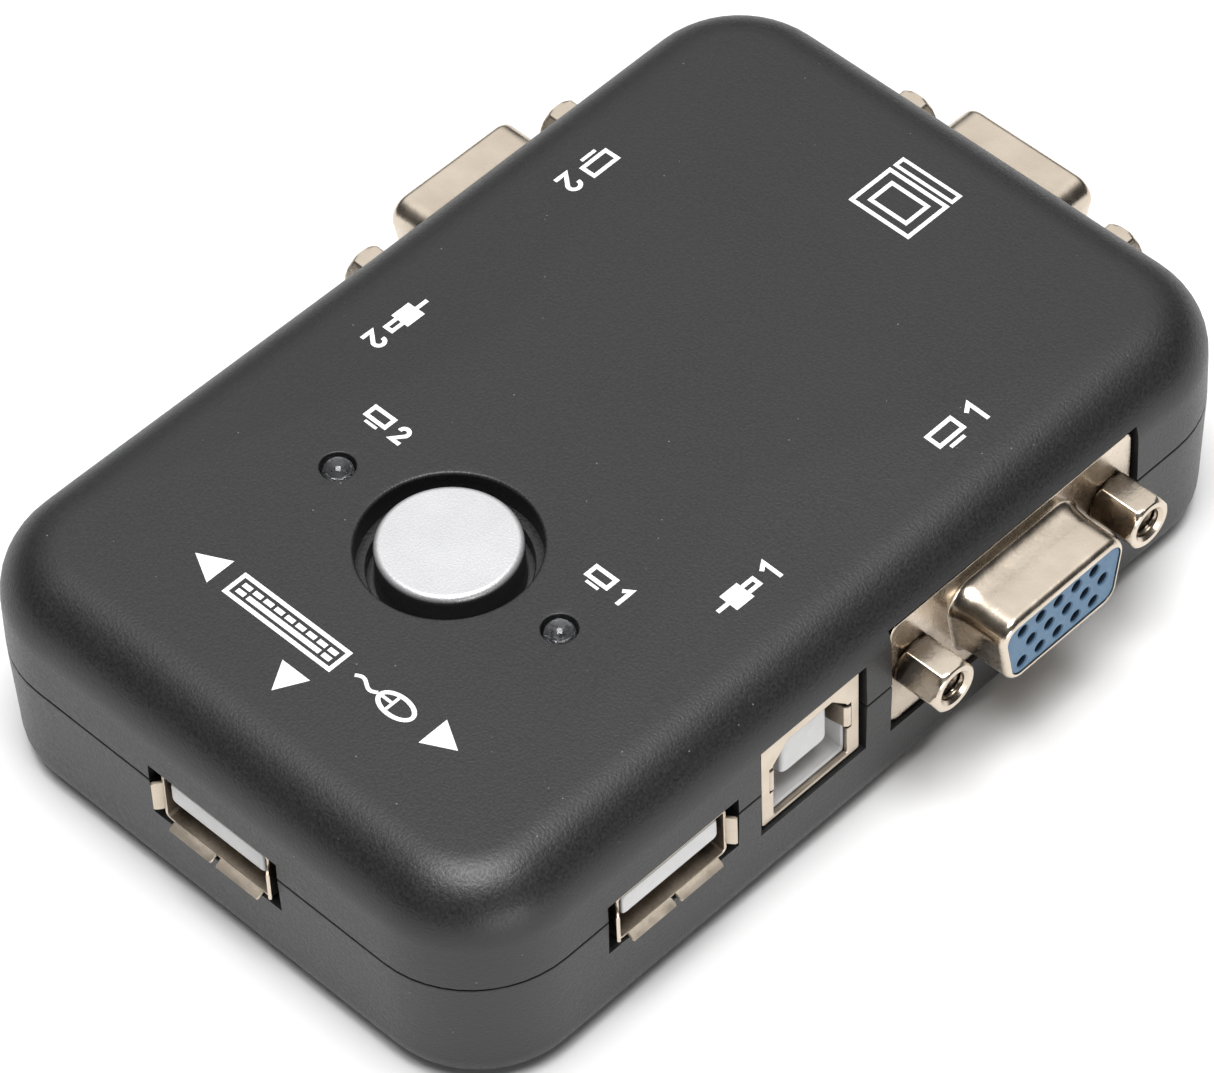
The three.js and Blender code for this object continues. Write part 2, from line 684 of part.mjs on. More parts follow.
function usbBShell() {
  const { width, height, depth, lip } = USB_B;
  const halfW = width / 2;
  const halfH = height / 2;
  const can = box(-depth, 0, -halfW, halfW, -halfH, halfH)
    .subtract(box(-depth + lip, -lip, -halfW + lip, halfW - lip, -halfH + lip, halfH - lip));
  const legs = solderLegs(USB_B_LEG, halfW, lip, USB_B_Z, -halfH + 1);
  const { bottom, top, halfCut } = USB_B_SPRING;
  const springs = [-1, 1].map((s) => {
    const y = (s * USB_B_MOUTH.width) / 2;
    return box(-lip - 0.2, 1, y - halfCut, y + halfCut, bottom, top);
  });
  const mouth = cut(pushedX(mouthOutline(0), -1, 1), springs);
  return can.subtract(mouth).add(joined(legs));
}

function usbBInsert() {
  const { width, height, depth, lip } = USB_B;
  const halfW = width / 2 - lip - GAP;
  const halfH = height / 2 - lip - GAP;
  const block = box(-depth + lip + GAP, -lip - GAP, -halfW, halfW, -halfH, halfH);
  const cavity = pushedX(mouthOutline(0.05), -USB_B_CAVITY, 1);
  const { width: tw, bottom, top } = USB_B_TONGUE;
  const tongue = pushedX(roundedPolygon([
    [tw / 2, top], [-tw / 2, top], [-tw / 2, bottom], [tw / 2, bottom],
  ], 0.5, 2), -USB_B_CAVITY - 0.6, -0.7);
  return block.subtract(cavity).add(tongue);
}

// ---- circuit board ----

// Centres of the socket legs, with whether each leg is long in X.
function legSpots() {
  const spots = [];
  const legA = USB_A.width / 2 - USB_A.wall / 2;
  const legB = USB_B.width / 2 - USB_B.lip / 2;
  const backA = -USB_A_RECESS - USB_A_LEG;
  const backB = -USB_B_RECESS - USB_B_LEG;
  for (const s of [-1, 1]) {
    spots.push([USB_A_X + s * legA, -LENGTH / 2 - backA, false]);
    for (const side of [-1, 1]) {
      spots.push([side * (WIDTH / 2 + backA), USB_A_Y + s * legA, true]);
      spots.push([side * (WIDTH / 2 + backB), USB_B_Y + s * legB, true]);
    }
  }
  return spots;
}

function circuitBoard() {
  const bottom = BOARD_TOP - BOARD_THICK;
  const rings = [bottom, BOARD_TOP].map((z) => {
    return outline(BOARD_HALF_X, BOARD_HALF_Y, BOARD_CORNER_R, 4).map(([x, y]) => [x, y, z]);
  });
  const postHoles = screwSpots().map(([x, y]) => post(x, y, POST_R + GAP, 5, 9, 16));
  const long = LEG_HALF + GAP;
  const short = 0.5;
  const legHoles = legSpots().map(([x, y, alongX]) => {
    const [hx, hy] = alongX ? [long, short] : [short, long];
    return box(x - hx, x + hx, y - hy, y + hy, 5, 9);
  });
  const leadHalf = LED_LEAD.half + GAP;
  const leadHoles = [-1, 1].flatMap((led) => [-1, 1].map((lead) => {
    const x = led * LED_X + lead * LED_LEAD.offset;
    return box(x - leadHalf, x + leadHalf, LED_Y - leadHalf, LED_Y + leadHalf, 5, 9);
  }));
  return cut(loft(rings), [...postHoles, ...legHoles, ...leadHoles]);
}

// Small-outline chip with its two rows of pins drawn as part of one body.
function chip(halfX, halfY, pins) {
  const z0 = BOARD_TOP + GAP;
  const body = box(-halfX, halfX, -halfY, halfY, z0 + 0.1, z0 + 1.7);
  const pitch = (2 * halfY - 0.8) / (pins - 1);
  const feet = [];
  for (let k = 0; k < pins; k++) {
    const y = -halfY + 0.4 + k * pitch;
    feet.push(box(-halfX - 0.9, halfX + 0.9, y - 0.2, y + 0.2, z0, z0 + 0.5));
  }
  return joined([body, ...feet]);
}

function capacitor() {
  const z0 = BOARD_TOP + GAP;
  return turned([
    [0, z0], [2.5, z0], [2.5, z0 + 0.8], [2.3, z0 + 1.1], [2.5, z0 + 1.4], [2.5, z0 + 5.2],
    [2.3, z0 + 5.4], [0, z0 + 5.4],
  ], 14);
}

function crystal() {
  const z0 = BOARD_TOP + GAP;
  const rings = [z0, z0 + 3.4].map((z) => outline(5.3, 2.2, 2.1, 4).map(([x, y]) => [x, y, z]));
  return loft(rings);
}

// ---- placement ----

function placed(x, y, z, turn = 0) {
  const matrix = new THREE.Matrix4().makeRotationZ(THREE.MathUtils.degToRad(turn));
  return matrix.setPosition(x, y, z);
}

function addVga(group, name, x, y, turn) {
  const place = placed(x, y, VGA_Z, turn);
  group.add(piece(`${name}_shell`, vgaShell(), "nickel", place));
  group.add(piece(`${name}_insert`, vgaInsert(), "blue", place));
  jackSpots().forEach((offset, i) => {
    const spot = place.clone().multiply(placed(0, offset, 0));
    group.add(piece(`${name}_jackscrew_${i + 1}`, jackscrew(), "nickel", spot));
  });
}

function addUsbA(group, name, x, y, turn) {
  const place = placed(x, y, USB_A_Z, turn);
  group.add(piece(`${name}_shell`, usbAShell(), "nickel", place));
  group.add(piece(`${name}_insert`, usbAInsert(), "tongue", place));
}

function addUsbB(group, name, x, y, turn) {
  const place = placed(x, y, USB_B_Z, turn);
  group.add(piece(`${name}_shell`, usbBShell(), "nickel", place));
  group.add(piece(`${name}_insert`, usbBInsert(), "tongue", place));
}

function addConnectors(group) {
  const side = WIDTH / 2;
  const end = LENGTH / 2;
  addVga(group, "vga_source1", side - VGA_RECESS, VGA_Y, 0);
  addVga(group, "vga_source2", VGA_RECESS - side, VGA_Y, 180);
  addVga(group, "vga_monitor", 0, end - VGA_RECESS, 90);
  addUsbA(group, "usb_a_right", side - USB_A_RECESS, USB_A_Y, 0);
  addUsbA(group, "usb_a_left", USB_A_RECESS - side, USB_A_Y, 180);
  addUsbA(group, "usb_a_front", USB_A_X, USB_A_RECESS - end, -90);
  addUsbB(group, "usb_b_source1", side - USB_B_RECESS, USB_B_Y, 0);
  addUsbB(group, "usb_b_source2", USB_B_RECESS - side, USB_B_Y, 180);
}

function addControls(group) {
  const onButton = placed(0, BUTTON_Y, 0);
  group.add(piece("button_cap", buttonCap(), "silver", onButton));
  group.add(piece("switch_body", switchBody(), "switchBody", onButton));
  group.add(piece("switch_stem", switchStem(), "stem", onButton));
  group.add(piece("switch_spring", returnSpring(), "steel", onButton));
  [-1, 1].forEach((led) => {
    const name = led > 0 ? "led_source1" : "led_source2";
    const spot = placed(led * LED_X, LED_Y, 0);
    group.add(piece(name, ledLens(), "lens", spot));
    group.add(piece(`${name}_lead_1`, ledLead(-1), "steel", spot));
    group.add(piece(`${name}_lead_2`, ledLead(1), "steel", spot));
  });
}

function addBoard(group) {
  group.add(piece("circuit_board", circuitBoard(), "board"));
  for (const [name, spot] of Object.entries(CHIP_SPOTS)) {
    const halfX = name === "usb_chip" ? 2.6 : 2;
    group.add(piece(name, chip(halfX, 5, 6), "chip", placed(...spot, 0)));
  }
  group.add(piece("crystal", crystal(), "steel", placed(...CRYSTAL_SPOT, 0)));
  CAPACITOR_SPOTS.forEach((spot, i) => {
    group.add(piece(`capacitor_${i + 1}`, capacitor(), "chip", placed(...spot, 0)));
  });
}

const part = new THREE.Group();
part.name = "kvm_switch";
part.add(piece("top_shell", topShell(), "case"));
part.add(piece("bottom_shell", bottomShell(), "case"));
screwSpots().forEach(([x, y], i) => {
  part.add(piece(`case_screw_${i + 1}`, caseScrew(), "steel", placed(x, y, 0)));
});
addControls(part);
addConnectors(part);
addBoard(part);

export default part;
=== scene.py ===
# Looks for the two-port VGA and USB switch box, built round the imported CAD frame.
# Shapes are worked out in millimetres and turned to metres when a piece is placed.
import math

import bmesh
import bpy
from mathutils import Matrix, Vector


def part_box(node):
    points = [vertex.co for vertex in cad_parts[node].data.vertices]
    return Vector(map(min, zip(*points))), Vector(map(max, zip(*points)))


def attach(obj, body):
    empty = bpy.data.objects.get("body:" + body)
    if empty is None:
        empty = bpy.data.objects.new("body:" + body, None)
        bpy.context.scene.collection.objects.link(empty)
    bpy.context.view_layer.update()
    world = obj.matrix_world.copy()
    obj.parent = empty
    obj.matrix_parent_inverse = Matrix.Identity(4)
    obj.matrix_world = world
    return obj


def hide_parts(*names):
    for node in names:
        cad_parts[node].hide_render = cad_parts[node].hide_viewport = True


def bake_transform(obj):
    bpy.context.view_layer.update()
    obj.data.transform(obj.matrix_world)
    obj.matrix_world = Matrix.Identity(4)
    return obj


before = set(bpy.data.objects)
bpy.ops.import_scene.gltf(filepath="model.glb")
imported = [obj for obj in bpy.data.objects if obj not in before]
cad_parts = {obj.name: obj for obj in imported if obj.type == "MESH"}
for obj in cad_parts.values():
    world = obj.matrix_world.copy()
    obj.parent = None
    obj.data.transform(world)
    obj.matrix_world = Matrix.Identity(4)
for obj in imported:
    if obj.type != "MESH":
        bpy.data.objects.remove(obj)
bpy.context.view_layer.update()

MM = 0.001


def mm_box(node):
    low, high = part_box(node)
    return low / MM, high / MM


def middle_of(name):
    low, high = mm_box(name)
    return (low + high) / 2


# ---- driving dimensions, in millimetres ----
LID_HIGH = mm_box("top_shell")[1]
TRAY_HIGH = mm_box("bottom_shell")[1]
HALF_X = LID_HIGH.x
HALF_Y = LID_HIGH.y
TOP = LID_HIGH.z
LIP_HEIGHT = 1.4
LIP_THICK = 0.8
SEAM_DROP = 0.475
SEAM = TRAY_HIGH.z - LIP_HEIGHT - SEAM_DROP  # drawn that much below the CAD's own seam
SEAM_HALF = 0.09
CORNER_R = 10.6
WALL = 2.0
TOP_FILLET = 6.0
TOP_WALL = 2.2
BASE_FILLET = 3.3
FLOOR = 2.0
UPPER_DRAFT = 1.0
LOWER_DRAFT = 1.7
EDGE_R = 0.12

WAIST_HALF = 14.2
WAIST_SPREAD = 0.37
WAIST_BLEND = 1.5
WAIST_Y = 0.5
WING_SLOPE = 0.035

WELL_R = 8.1
WELL_DEPTH = 2.5
WELL_EDGE = 0.3
LEDGE_R = 7.2
LEDGE_THICK = 1.2
CAP_R = 6.45
CAP_EDGE = 0.6
CAP_WALL = 1.2
CAP_CEILING = 22.9
CAP_SKIRT_R = 8.0
CAP_SKIRT_HEIGHT = 0.9

SPRING_WIRE_R = 0.25
SPRING_TURNS = 2.5

LED_R = 1.45
LED_HOLE_R = 1.6

SCREW_X = 24.4
SCREW_Y = 41.0
SCREW_POST = {"radius": 3.3, "z0": 1.0, "z1": 12.9}
SCREW_BORE = {"head_r": 2.5, "head_top": 3.5, "shank_r": 1.45, "rim": 0.15}

FLANGE = {"width": 30.8, "height": 12.5, "thick": 0.8, "corner": 1.0}
D_SHAPE = {"width": 16.33, "height": 7.9, "corner": 2.1, "reach": 6.0, "wall": 0.8}
D_ANGLE = 10.0
PIN_PITCH = 2.29
PIN_ROW = 1.98
PIN_R = 0.62
JACK_SPACING = 24.99
JACK_FLATS = 4.76
JACK_HOLE_R = 1.6
JACK_REACH = 4.8
THREAD_PITCH = 0.635

USB_A = {"width": 13.1, "height": 5.7, "depth": 14.0, "wall": 0.3, "reach": 0.85}
USB_A_TONGUE = {"width": 11.4, "thick": 2.4, "top": 2.1, "root": -8.6, "front": -0.2}
CONTACT_ROWS = (-3.5, -1, 1, 3.5)
USB_B = {"width": 12.0, "height": 10.2, "depth": 16.0, "wall": 0.35}
USB_B_TONGUE = {"half_w": 2.8, "low": -1.7, "high": 2.9, "tail": -9.9, "tip": -0.7}
MOUTH = {"width": 9.1, "bottom": -4.6, "top": 3.8, "chamfer": 1.9}


def linked(name, data):
    """New object of that name and data in the scene."""
    item = bpy.data.objects.new(name, data)
    bpy.context.scene.collection.objects.link(item)
    return item


# ---- camera and light ----

CAM_AZIMUTH = 46.28
CAM_ELEVATION = 49.1
CAM_ROLL = -2.62
CAM_DISTANCE = 524.7
CAM_LENS = 184.4
CAM_AIM = (9.13, -9.75)


def add_camera():
    data = bpy.data.cameras.new("camera")
    data.lens = CAM_LENS
    data.sensor_width = 36
    data.clip_start = 0.01
    data.clip_end = 20
    camera = linked("camera", data)
    azimuth, elevation, roll = (math.radians(a) for a in (CAM_AZIMUTH, CAM_ELEVATION, CAM_ROLL))
    reach = math.cos(elevation)
    back = Vector((math.sin(azimuth) * reach, -math.cos(azimuth) * reach, math.sin(elevation)))
    level = Vector((math.cos(azimuth), math.sin(azimuth), 0))
    right = level * math.cos(roll) + back.cross(level) * math.sin(roll)
    up = back.cross(right)
    spot = (Vector((*CAM_AIM, TOP)) + back * CAM_DISTANCE) * MM
    turn = Matrix((right, up, back)).transposed().to_4x4()
    camera.matrix_world = Matrix.Translation(spot) @ turn
    bpy.context.scene.camera = camera


def add_area(name, location, target, size, power):
    data = bpy.data.lights.new(name, "AREA")
    data.shape = "RECTANGLE"
    data.size, data.size_y = size
    data.energy = power
    light = linked(name, data)
    light.location = location
    aim = Vector(target) - Vector(location)
    light.rotation_euler = aim.to_track_quat("-Z", "Y").to_euler()


SOFTBOX = (-0.36, 0.33, 0.87)


def add_world():
    """A dim studio with one wide soft light high behind the box, to the left."""
    world = bpy.data.worlds.new("studio")
    bpy.context.scene.world = world
    world.use_nodes = True
    nodes, links = world.node_tree.nodes, world.node_tree.links
    nodes.clear()
    coord = nodes.new("ShaderNodeTexCoord")
    facing = nodes.new("ShaderNodeVectorMath")
    facing.operation = "DOT_PRODUCT"
    facing.inputs[1].default_value = Vector(SOFTBOX).normalized()
    ramp = nodes.new("ShaderNodeValToRGB")
    back = nodes.new("ShaderNodeBackground")
    out = nodes.new("ShaderNodeOutputWorld")
    stops = [(0.0, 0.03), (0.55, 0.06), (0.72, 0.25), (0.88, 0.95), (1.0, 1.1)]
    ramp.color_ramp.elements[0].position = stops[0][0]
    ramp.color_ramp.elements[1].position = stops[-1][0]
    for position, _ in stops[1:-1]:
        ramp.color_ramp.elements.new(position)
    for element, (_, level) in zip(ramp.color_ramp.elements, stops):
        element.color = (level, level, level, 1)
    links.new(coord.outputs["Generated"], facing.inputs[0])
    links.new(facing.outputs["Value"], ramp.inputs[0])
    links.new(ramp.outputs[0], back.inputs["Color"])
    links.new(back.outputs[0], out.inputs["Surface"])


def add_studio():
    scene = bpy.context.scene
    scene.view_settings.view_transform = "Standard"
    scene.view_settings.look = "None"
    add_world()
    add_area("overhead", (0.1, -0.1, 1.0), (0, 0, 0), (0.6, 0.6), 13)
    add_area("fill", (0.85, -0.3, 0.13), (0, 0, 0.01), (0.5, 0.2), 2.2)


# ---- materials ----

SHADE_SAMPLES = 8


class Look:
    """One procedural material, with its textures scaled in millimetres."""

    def __init__(self, name, metallic=0.0, ior=1.5):
        self.material = bpy.data.materials.new(name)
        self.material.use_nodes = True
        self.nodes = self.material.node_tree.nodes
        self.links = self.material.node_tree.links
        self.bsdf = next(n for n in self.nodes if n.type == "BSDF_PRINCIPLED")
        self.set("Metallic", metallic)
        self.set("IOR", ior)
        coord = self.nodes.new("ShaderNodeTexCoord")
        scale = self.nodes.new("ShaderNodeMapping")
        scale.inputs["Scale"].default_value = (1 / MM, 1 / MM, 1 / MM)
        self.links.new(coord.outputs["Object"], scale.inputs["Vector"])
        self.where = scale.outputs["Vector"]
        self.normal = None

    def feed(self, socket, value):
        """Links what another node gives, or sets a plain number or colour."""
        if isinstance(value, bpy.types.NodeSocket):
            self.links.new(value, socket)
        else:
            socket.default_value = (*value, 1) if isinstance(value, tuple) else value

    def set(self, name, value):
        self.feed(self.bsdf.inputs[name], value)

    def add(self, kind, values):
        """New node, fed at the inputs named."""
        node = self.nodes.new(kind)
        for name, value in values.items():
            self.feed(node.inputs[name], value)
        return node

    def noise(self, size, detail):
        """Noise with features of about that size in millimetres."""
        values = {"Scale": 1 / size, "Detail": detail, "Vector": self.where}
        return self.add("ShaderNodeTexNoise", values).outputs["Fac"]

    def cells(self, size, feature="F1"):
        node = self.add("ShaderNodeTexVoronoi", {"Scale": 1 / size, "Vector": self.where})
        node.feature = feature
        return node.outputs["Distance"]

    def shade(self, reach, low=0.0, high=1.0):
        """How open the surface is within that many millimetres, low when closed in; the looks paint shade
        with it.
        """
        node = self.add("ShaderNodeAmbientOcclusion", {"Distance": reach * MM})
        node.samples = SHADE_SAMPLES
        return self.span(node.outputs["AO"], 0, 1, low, high)

    def times(self, first, second):
        node = self.add("ShaderNodeMath", {0: first, 1: second})
        node.operation = "MULTIPLY"
        return node.outputs[0]

    def plus(self, first, second, share):
        """First value with a share of the second added."""
        node = self.add("ShaderNodeMath", {0: second, 1: share, 2: first})
        node.operation = "MULTIPLY_ADD"
        return node.outputs[0]

    def grain(self, size, detail, depth):
        """Relief with features of about that size, both in millimetres."""
        self.bump(self.noise(size, detail), depth)

    def span(self, value, low, high, start=0.3, stop=0.7):
        values = {"Value": value, "From Min": start, "From Max": stop, "To Min": low, "To Max": high}
        return self.add("ShaderNodeMapRange", values).outputs["Result"]

    def paint(self, colour):
        self.set("Base Color", colour)

    def mottle(self, size, detail, dark, light):
        """Patches of about that size in millimetres, from one colour to the other."""
        return self.blend(self.span(self.noise(size, detail), 0, 1), dark, light)

    def polish(self, size, detail, smooth, rough):
        """Roughness that wanders between two values."""
        self.set("Roughness", self.span(self.noise(size, detail), smooth, rough))

    def blend(self, value, first, second):
        node = self.nodes.new("ShaderNodeMix")
        node.data_type = "RGBA"
        for name, part in (("Factor", value), (6, first), (7, second)):
            self.feed(node.inputs[name], part)
        return node.outputs[2]

    def bump(self, height, depth, strength=1.0):
        """Relief of that depth in millimetres, on top of any before it."""
        values = {"Strength": strength, "Distance": depth * MM, "Height": height}
        if self.normal:
            values["Normal"] = self.normal
        self.normal = self.add("ShaderNodeBump", values).outputs["Normal"]
        self.set("Normal", self.normal)


def grey(level):
    return (level, level, level)


def case_look():
    look = Look("case_plastic")
    broad = look.noise(14, 3)
    grain = look.noise(0.26, 2)
    ground = look.blend(look.span(grain, 0, 1), (0.0090, 0.0090, 0.0094), (0.0170, 0.0170, 0.0175))
    ground = look.blend(look.span(broad, 0, 0.35), ground, (0.0175, 0.0175, 0.0180))
    specks = look.span(look.cells(1.5), 1, 0, 0.035, 0.06)
    patches = look.span(look.noise(2.2, 2), 0, 1, 0.52, 0.58)
    look.paint(look.blend(look.times(specks, patches), ground, grey(0.16)))
    look.set("Roughness", look.span(grain, 0.36, 0.5))
    look.bump(grain, 0.035)
    look.grain(0.6, 3, 0.01)
    return look.material


def nickel_look(name, smooth, rough):
    look = Look(name, metallic=1.0)
    plate = look.mottle(3.5, 2, (0.62, 0.535, 0.435), (0.70, 0.61, 0.505))
    # Painted shade: dark brown painted where the metal is closed in, at corners, the barrel root and the
    # screw bores, with a speckled edge.
    open_sky = look.plus(look.shade(4.0), look.noise(0.3, 3), 0.25)
    painted_shade = look.span(open_sky, 1, 0, 0.35, 1.0)
    look.paint(look.blend(painted_shade, plate, (0.13, 0.098, 0.068)))
    look.polish(1.6, 2, smooth, rough)
    look.grain(0.9, 2, 0.01)
    look.grain(0.3, 3, 0.01)
    return look.material


def plain_look(name, colours, polish, relief, shade=None, **surface):
    """Mottled colour with uneven gloss and a fine relief, with painted shade in a darker colour where
    closed in.
    """
    look = Look(name, **surface)
    colour = look.mottle(*colours)
    if shade:
        # Painted shade: the darker colour goes where the surface is closed in.
        *reach, shade_colour = shade
        colour = look.blend(look.shade(*reach), shade_colour, colour)
    look.paint(colour)
    look.polish(*polish)
    look.grain(*relief)
    return look.material


def silver_look():
    look = Look("button_silver", metallic=0.6)
    grain = look.noise(0.2, 2)
    plain = look.mottle(5, 3, (0.55, 0.55, 0.56), (0.61, 0.61, 0.62))
    # Painted shade: near black where the cap is closed in, down its side wall inside the well.
    look.paint(look.blend(look.shade(5.0, 0.5, 0.95), (0.07, 0.07, 0.073), plain))
    look.set("Roughness", look.span(grain, 0.34, 0.5))
    look.bump(grain, 0.02)
    return look.material


def blue_look():
    colours = (1.3, 3, (0.085, 0.175, 0.285), (0.105, 0.205, 0.32))
    # Painted shade: dark blue in the pin holes and along the walls that close in the face.
    shade = (1.6, 0.3, 0.9, (0.012, 0.022, 0.04))
    return plain_look("vga_blue", colours, (0.3, 2, 0.42, 0.58), (0.2, 2, 0.006), shade)


def white_look():
    colours = (1.8, 3, (0.63, 0.628, 0.625), (0.69, 0.688, 0.685))
    # Painted shade: darker grey in the creases and hollows of the white blocks.
    shade = (2.5, 0.1, 0.8, (0.24, 0.24, 0.25))
    return plain_look("connector_white", colours, (0.3, 2, 0.38, 0.52), (0.25, 2, 0.006), shade)


def print_look():
    look = Look("print_white", ior=1.45)
    speck = look.noise(0.22, 3)
    look.paint(look.blend(look.span(speck, 0, 1, 0.2, 0.42), grey(0.62), grey(0.86)))
    look.set("Roughness", look.span(speck, 0.5, 0.7))
    look.bump(speck, 0.006)
    return look.material


def clear_look():
    look = Look("led_clear", ior=1.52)
    look.set("Transmission Weight", 1.0)
    look.paint(look.mottle(0.6, 2, (0.93, 0.94, 0.95), grey(1)))
    look.polish(0.35, 2, 0.01, 0.06)
    look.grain(0.8, 2, 0.01)
    return look.material


def steel_look():
    colours = (1.1, 4, (0.42, 0.42, 0.44), (0.62, 0.62, 0.63))
    return plain_look("steel", colours, (0.3, 3, 0.22, 0.42), (0.35, 3, 0.012), metallic=1.0)


def gold_look():
    colours = (0.7, 3, (0.72, 0.48, 0.18), (0.86, 0.62, 0.28))
    return plain_look("contact_gold", colours, (0.25, 2, 0.18, 0.32), (0.2, 2, 0.004), metallic=1.0)


def board_look():
    look = Look("board_green")
    tracks = look.cells(1.6, "DISTANCE_TO_EDGE")
    ground = look.mottle(6, 3, (0.010, 0.075, 0.032), (0.016, 0.11, 0.045))
    look.paint(look.blend(look.span(tracks, 1, 0, 0.06, 0.09), ground, (0.03, 0.17, 0.07)))
    look.polish(0.8, 2, 0.28, 0.42)
    look.bump(tracks, 0.03, 0.5)
    return look.material


def chip_look():
    colours = (0.8, 3, (0.012, 0.012, 0.013), (0.026, 0.026, 0.027))
    return plain_look("chip_black", colours, (0.3, 2, 0.5, 0.68), (0.14, 2, 0.01))


def floor_look():
    look = Look("pale_floor", ior=1.4)
    look.paint(look.mottle(60, 3, grey(0.82), grey(0.85)))
    look.polish(2, 3, 0.6, 0.75)
    return look.material


# ---- mesh helpers ----

def skin(rings, loop=False):
    """Closed solid over rings of equal point count, with flat ends unless it loops."""
    shape = bmesh.new()
    rows = [[shape.verts.new(point) for point in ring] for ring in rings]
    if loop:
        rows.append(rows[0])
    else:
        shape.faces.new(rows[0][::-1])
        shape.faces.new(rows[-1])
    for near, far in zip(rows, rows[1:]):
        for i in range(len(near)):
            j = (i + 1) % len(near)
            shape.faces.new((near[i], near[j], far[j], far[i]))
    return tidied(shape)


def tidied(shape):
    bmesh.ops.remove_doubles(shape, verts=shape.verts, dist=2e-5)
    bmesh.ops.dissolve_degenerate(shape, edges=shape.edges, dist=1e-5)
    bmesh.ops.recalc_face_normals(shape, faces=shape.faces)
    return shape


def box(x0, x1, y0, y1, z0, z1):
    corners = [(x0, y0), (x1, y0), (x1, y1), (x0, y1)]
    return skin([[(x, y, z) for x, y in corners] for z in (z0, z1)])


def circle(sides):
    """Cosine and sine pairs round a full turn."""
    turns = [2 * math.pi * k / sides for k in range(sides)]
    return [(math.cos(turn), math.sin(turn)) for turn in turns]


def quarter(steps):
    """Cosine and sine pairs from nought to ninety degrees."""
    return circle(4 * steps)[:steps + 1]


def turned(profile, sides=64):
    """Solid of revolution about Z from (radius, height) pairs that start and end on the axis."""
    return skin([[(r * c, r * s, z) for c, s in circle(sides)] for r, z in profile])


def shift(x=0, y=0, z=0):
    return Matrix.Translation((x, y, z))


def moved(shape, matrix):
    shape.transform(matrix)
    return shape


def rolled(shape, side):
    """Turns a sheet drawn along a floor against one of the side walls."""
    return tidied(moved(shape, Matrix.Rotation(side * math.pi / 2, 4, "X")))


def post(x, y, radius, z0, z1, sides=32):
    return moved(turned([(0, z0), (radius, z0), (radius, z1), (0, z1)], sides), shift(x, y))


def along_x(layers):
    """Skins outlines of the Y-Z plane stacked along X."""
    return skin([[(x, y, z) for y, z in outline] for x, outline in layers])


def along(outline, layers):
    """Skins one outline along X from (x, argument) pairs."""
    return along_x([(x, outline(value)) for x, value in layers])


def rod_x(y, z, profile, sides=32):
    """Solid turned about an axis along X from (radius, x) pairs."""
    return skin([[(x, y + r * c, z + r * s) for c, s in circle(sides)] for r, x in profile])


def as_mesh(name, shape):
    mesh = bpy.data.meshes.new(name)
    shape.to_mesh(mesh)
    shape.free()
    return mesh


def gathered(shapes):
    """Several separate solids as one mesh."""
    whole = bmesh.new()
    for shape in shapes:
        mesh = as_mesh("part", shape)
        whole.from_mesh(mesh)
        bpy.data.meshes.remove(mesh)
    return whole


def combined(base, tool, operation):
    pair = [linked("operand", as_mesh("operand", shape)) for shape in (base, tool)]
    step = pair[0].modifiers.new("step", "BOOLEAN")
    step.operation = operation
    step.solver = "EXACT"
    step.object = pair[1]
    result = bmesh.new()
    result.from_object(pair[0], bpy.context.evaluated_depsgraph_get())
    for operand in pair:
        mesh = operand.data
        bpy.data.objects.remove(operand)
        bpy.data.meshes.remove(mesh)
    return tidied(result)


def cut(base, tool):
    return combined(base, tool, "DIFFERENCE")


def joined(base, tool):
    return combined(base, tool, "UNION")


def rounded(corners, radius, steps):
    """Counter-clockwise polygon with every corner rounded."""
    points = []
    for i, corner in enumerate(corners):
        here = Vector(corner)
        before = (Vector(corners[i - 1]) - here).normalized()
        after = (Vector(corners[(i + 1) % len(corners)]) - here).normalized()
        half = before.angle(after) / 2
        centre = here + (before + after).normalized() * (radius / math.sin(half))
        arm = here + before * (radius / math.tan(half)) - centre
        for k in range(steps + 1):
            turn = (math.pi - 2 * half) * k / steps
            points.append((
                centre.x + arm.x * math.cos(turn) - arm.y * math.sin(turn),
                centre.y + arm.x * math.sin(turn) + arm.y * math.cos(turn),
            ))
    return points


def panel(half_w, half_h, radius, steps=5):
    corners = [(half_w, half_h), (-half_w, half_h), (-half_w, -half_h), (half_w, -half_h)]
    return rounded(corners, radius, steps)


def inset_panel(half_w, half_h, radius):
    """Outline that shrinks by its argument."""
    return lambda inset: panel(half_w - inset, half_h - inset, radius)


def strip(path, half_widths, thick, offset=0.0):
    """Bent sheet: (x, z) centre points, the half width at each, and the sheet's thickness."""
    rings = []
    for i, (x, z) in enumerate(path):
        before = Vector(path[max(i - 1, 0)])
        after = Vector(path[min(i + 1, len(path) - 1)])
        run = (after - before).normalized()
        up = Vector((-run.y, run.x)) * thick / 2
        half = half_widths[i]
        soft = min(thick * 0.3, half * 0.5)
        section = [
            (half - soft, -1), (half, -0.4), (half, 0.4), (half - soft, 1),
            (soft - half, 1), (-half, 0.4), (-half, -0.4), (soft - half, -1),
        ]
        rings.append([(x + up.x * v, offset + w, z + up.y * v) for w, v in section])
    return skin(rings)


# ---- placing pieces ----

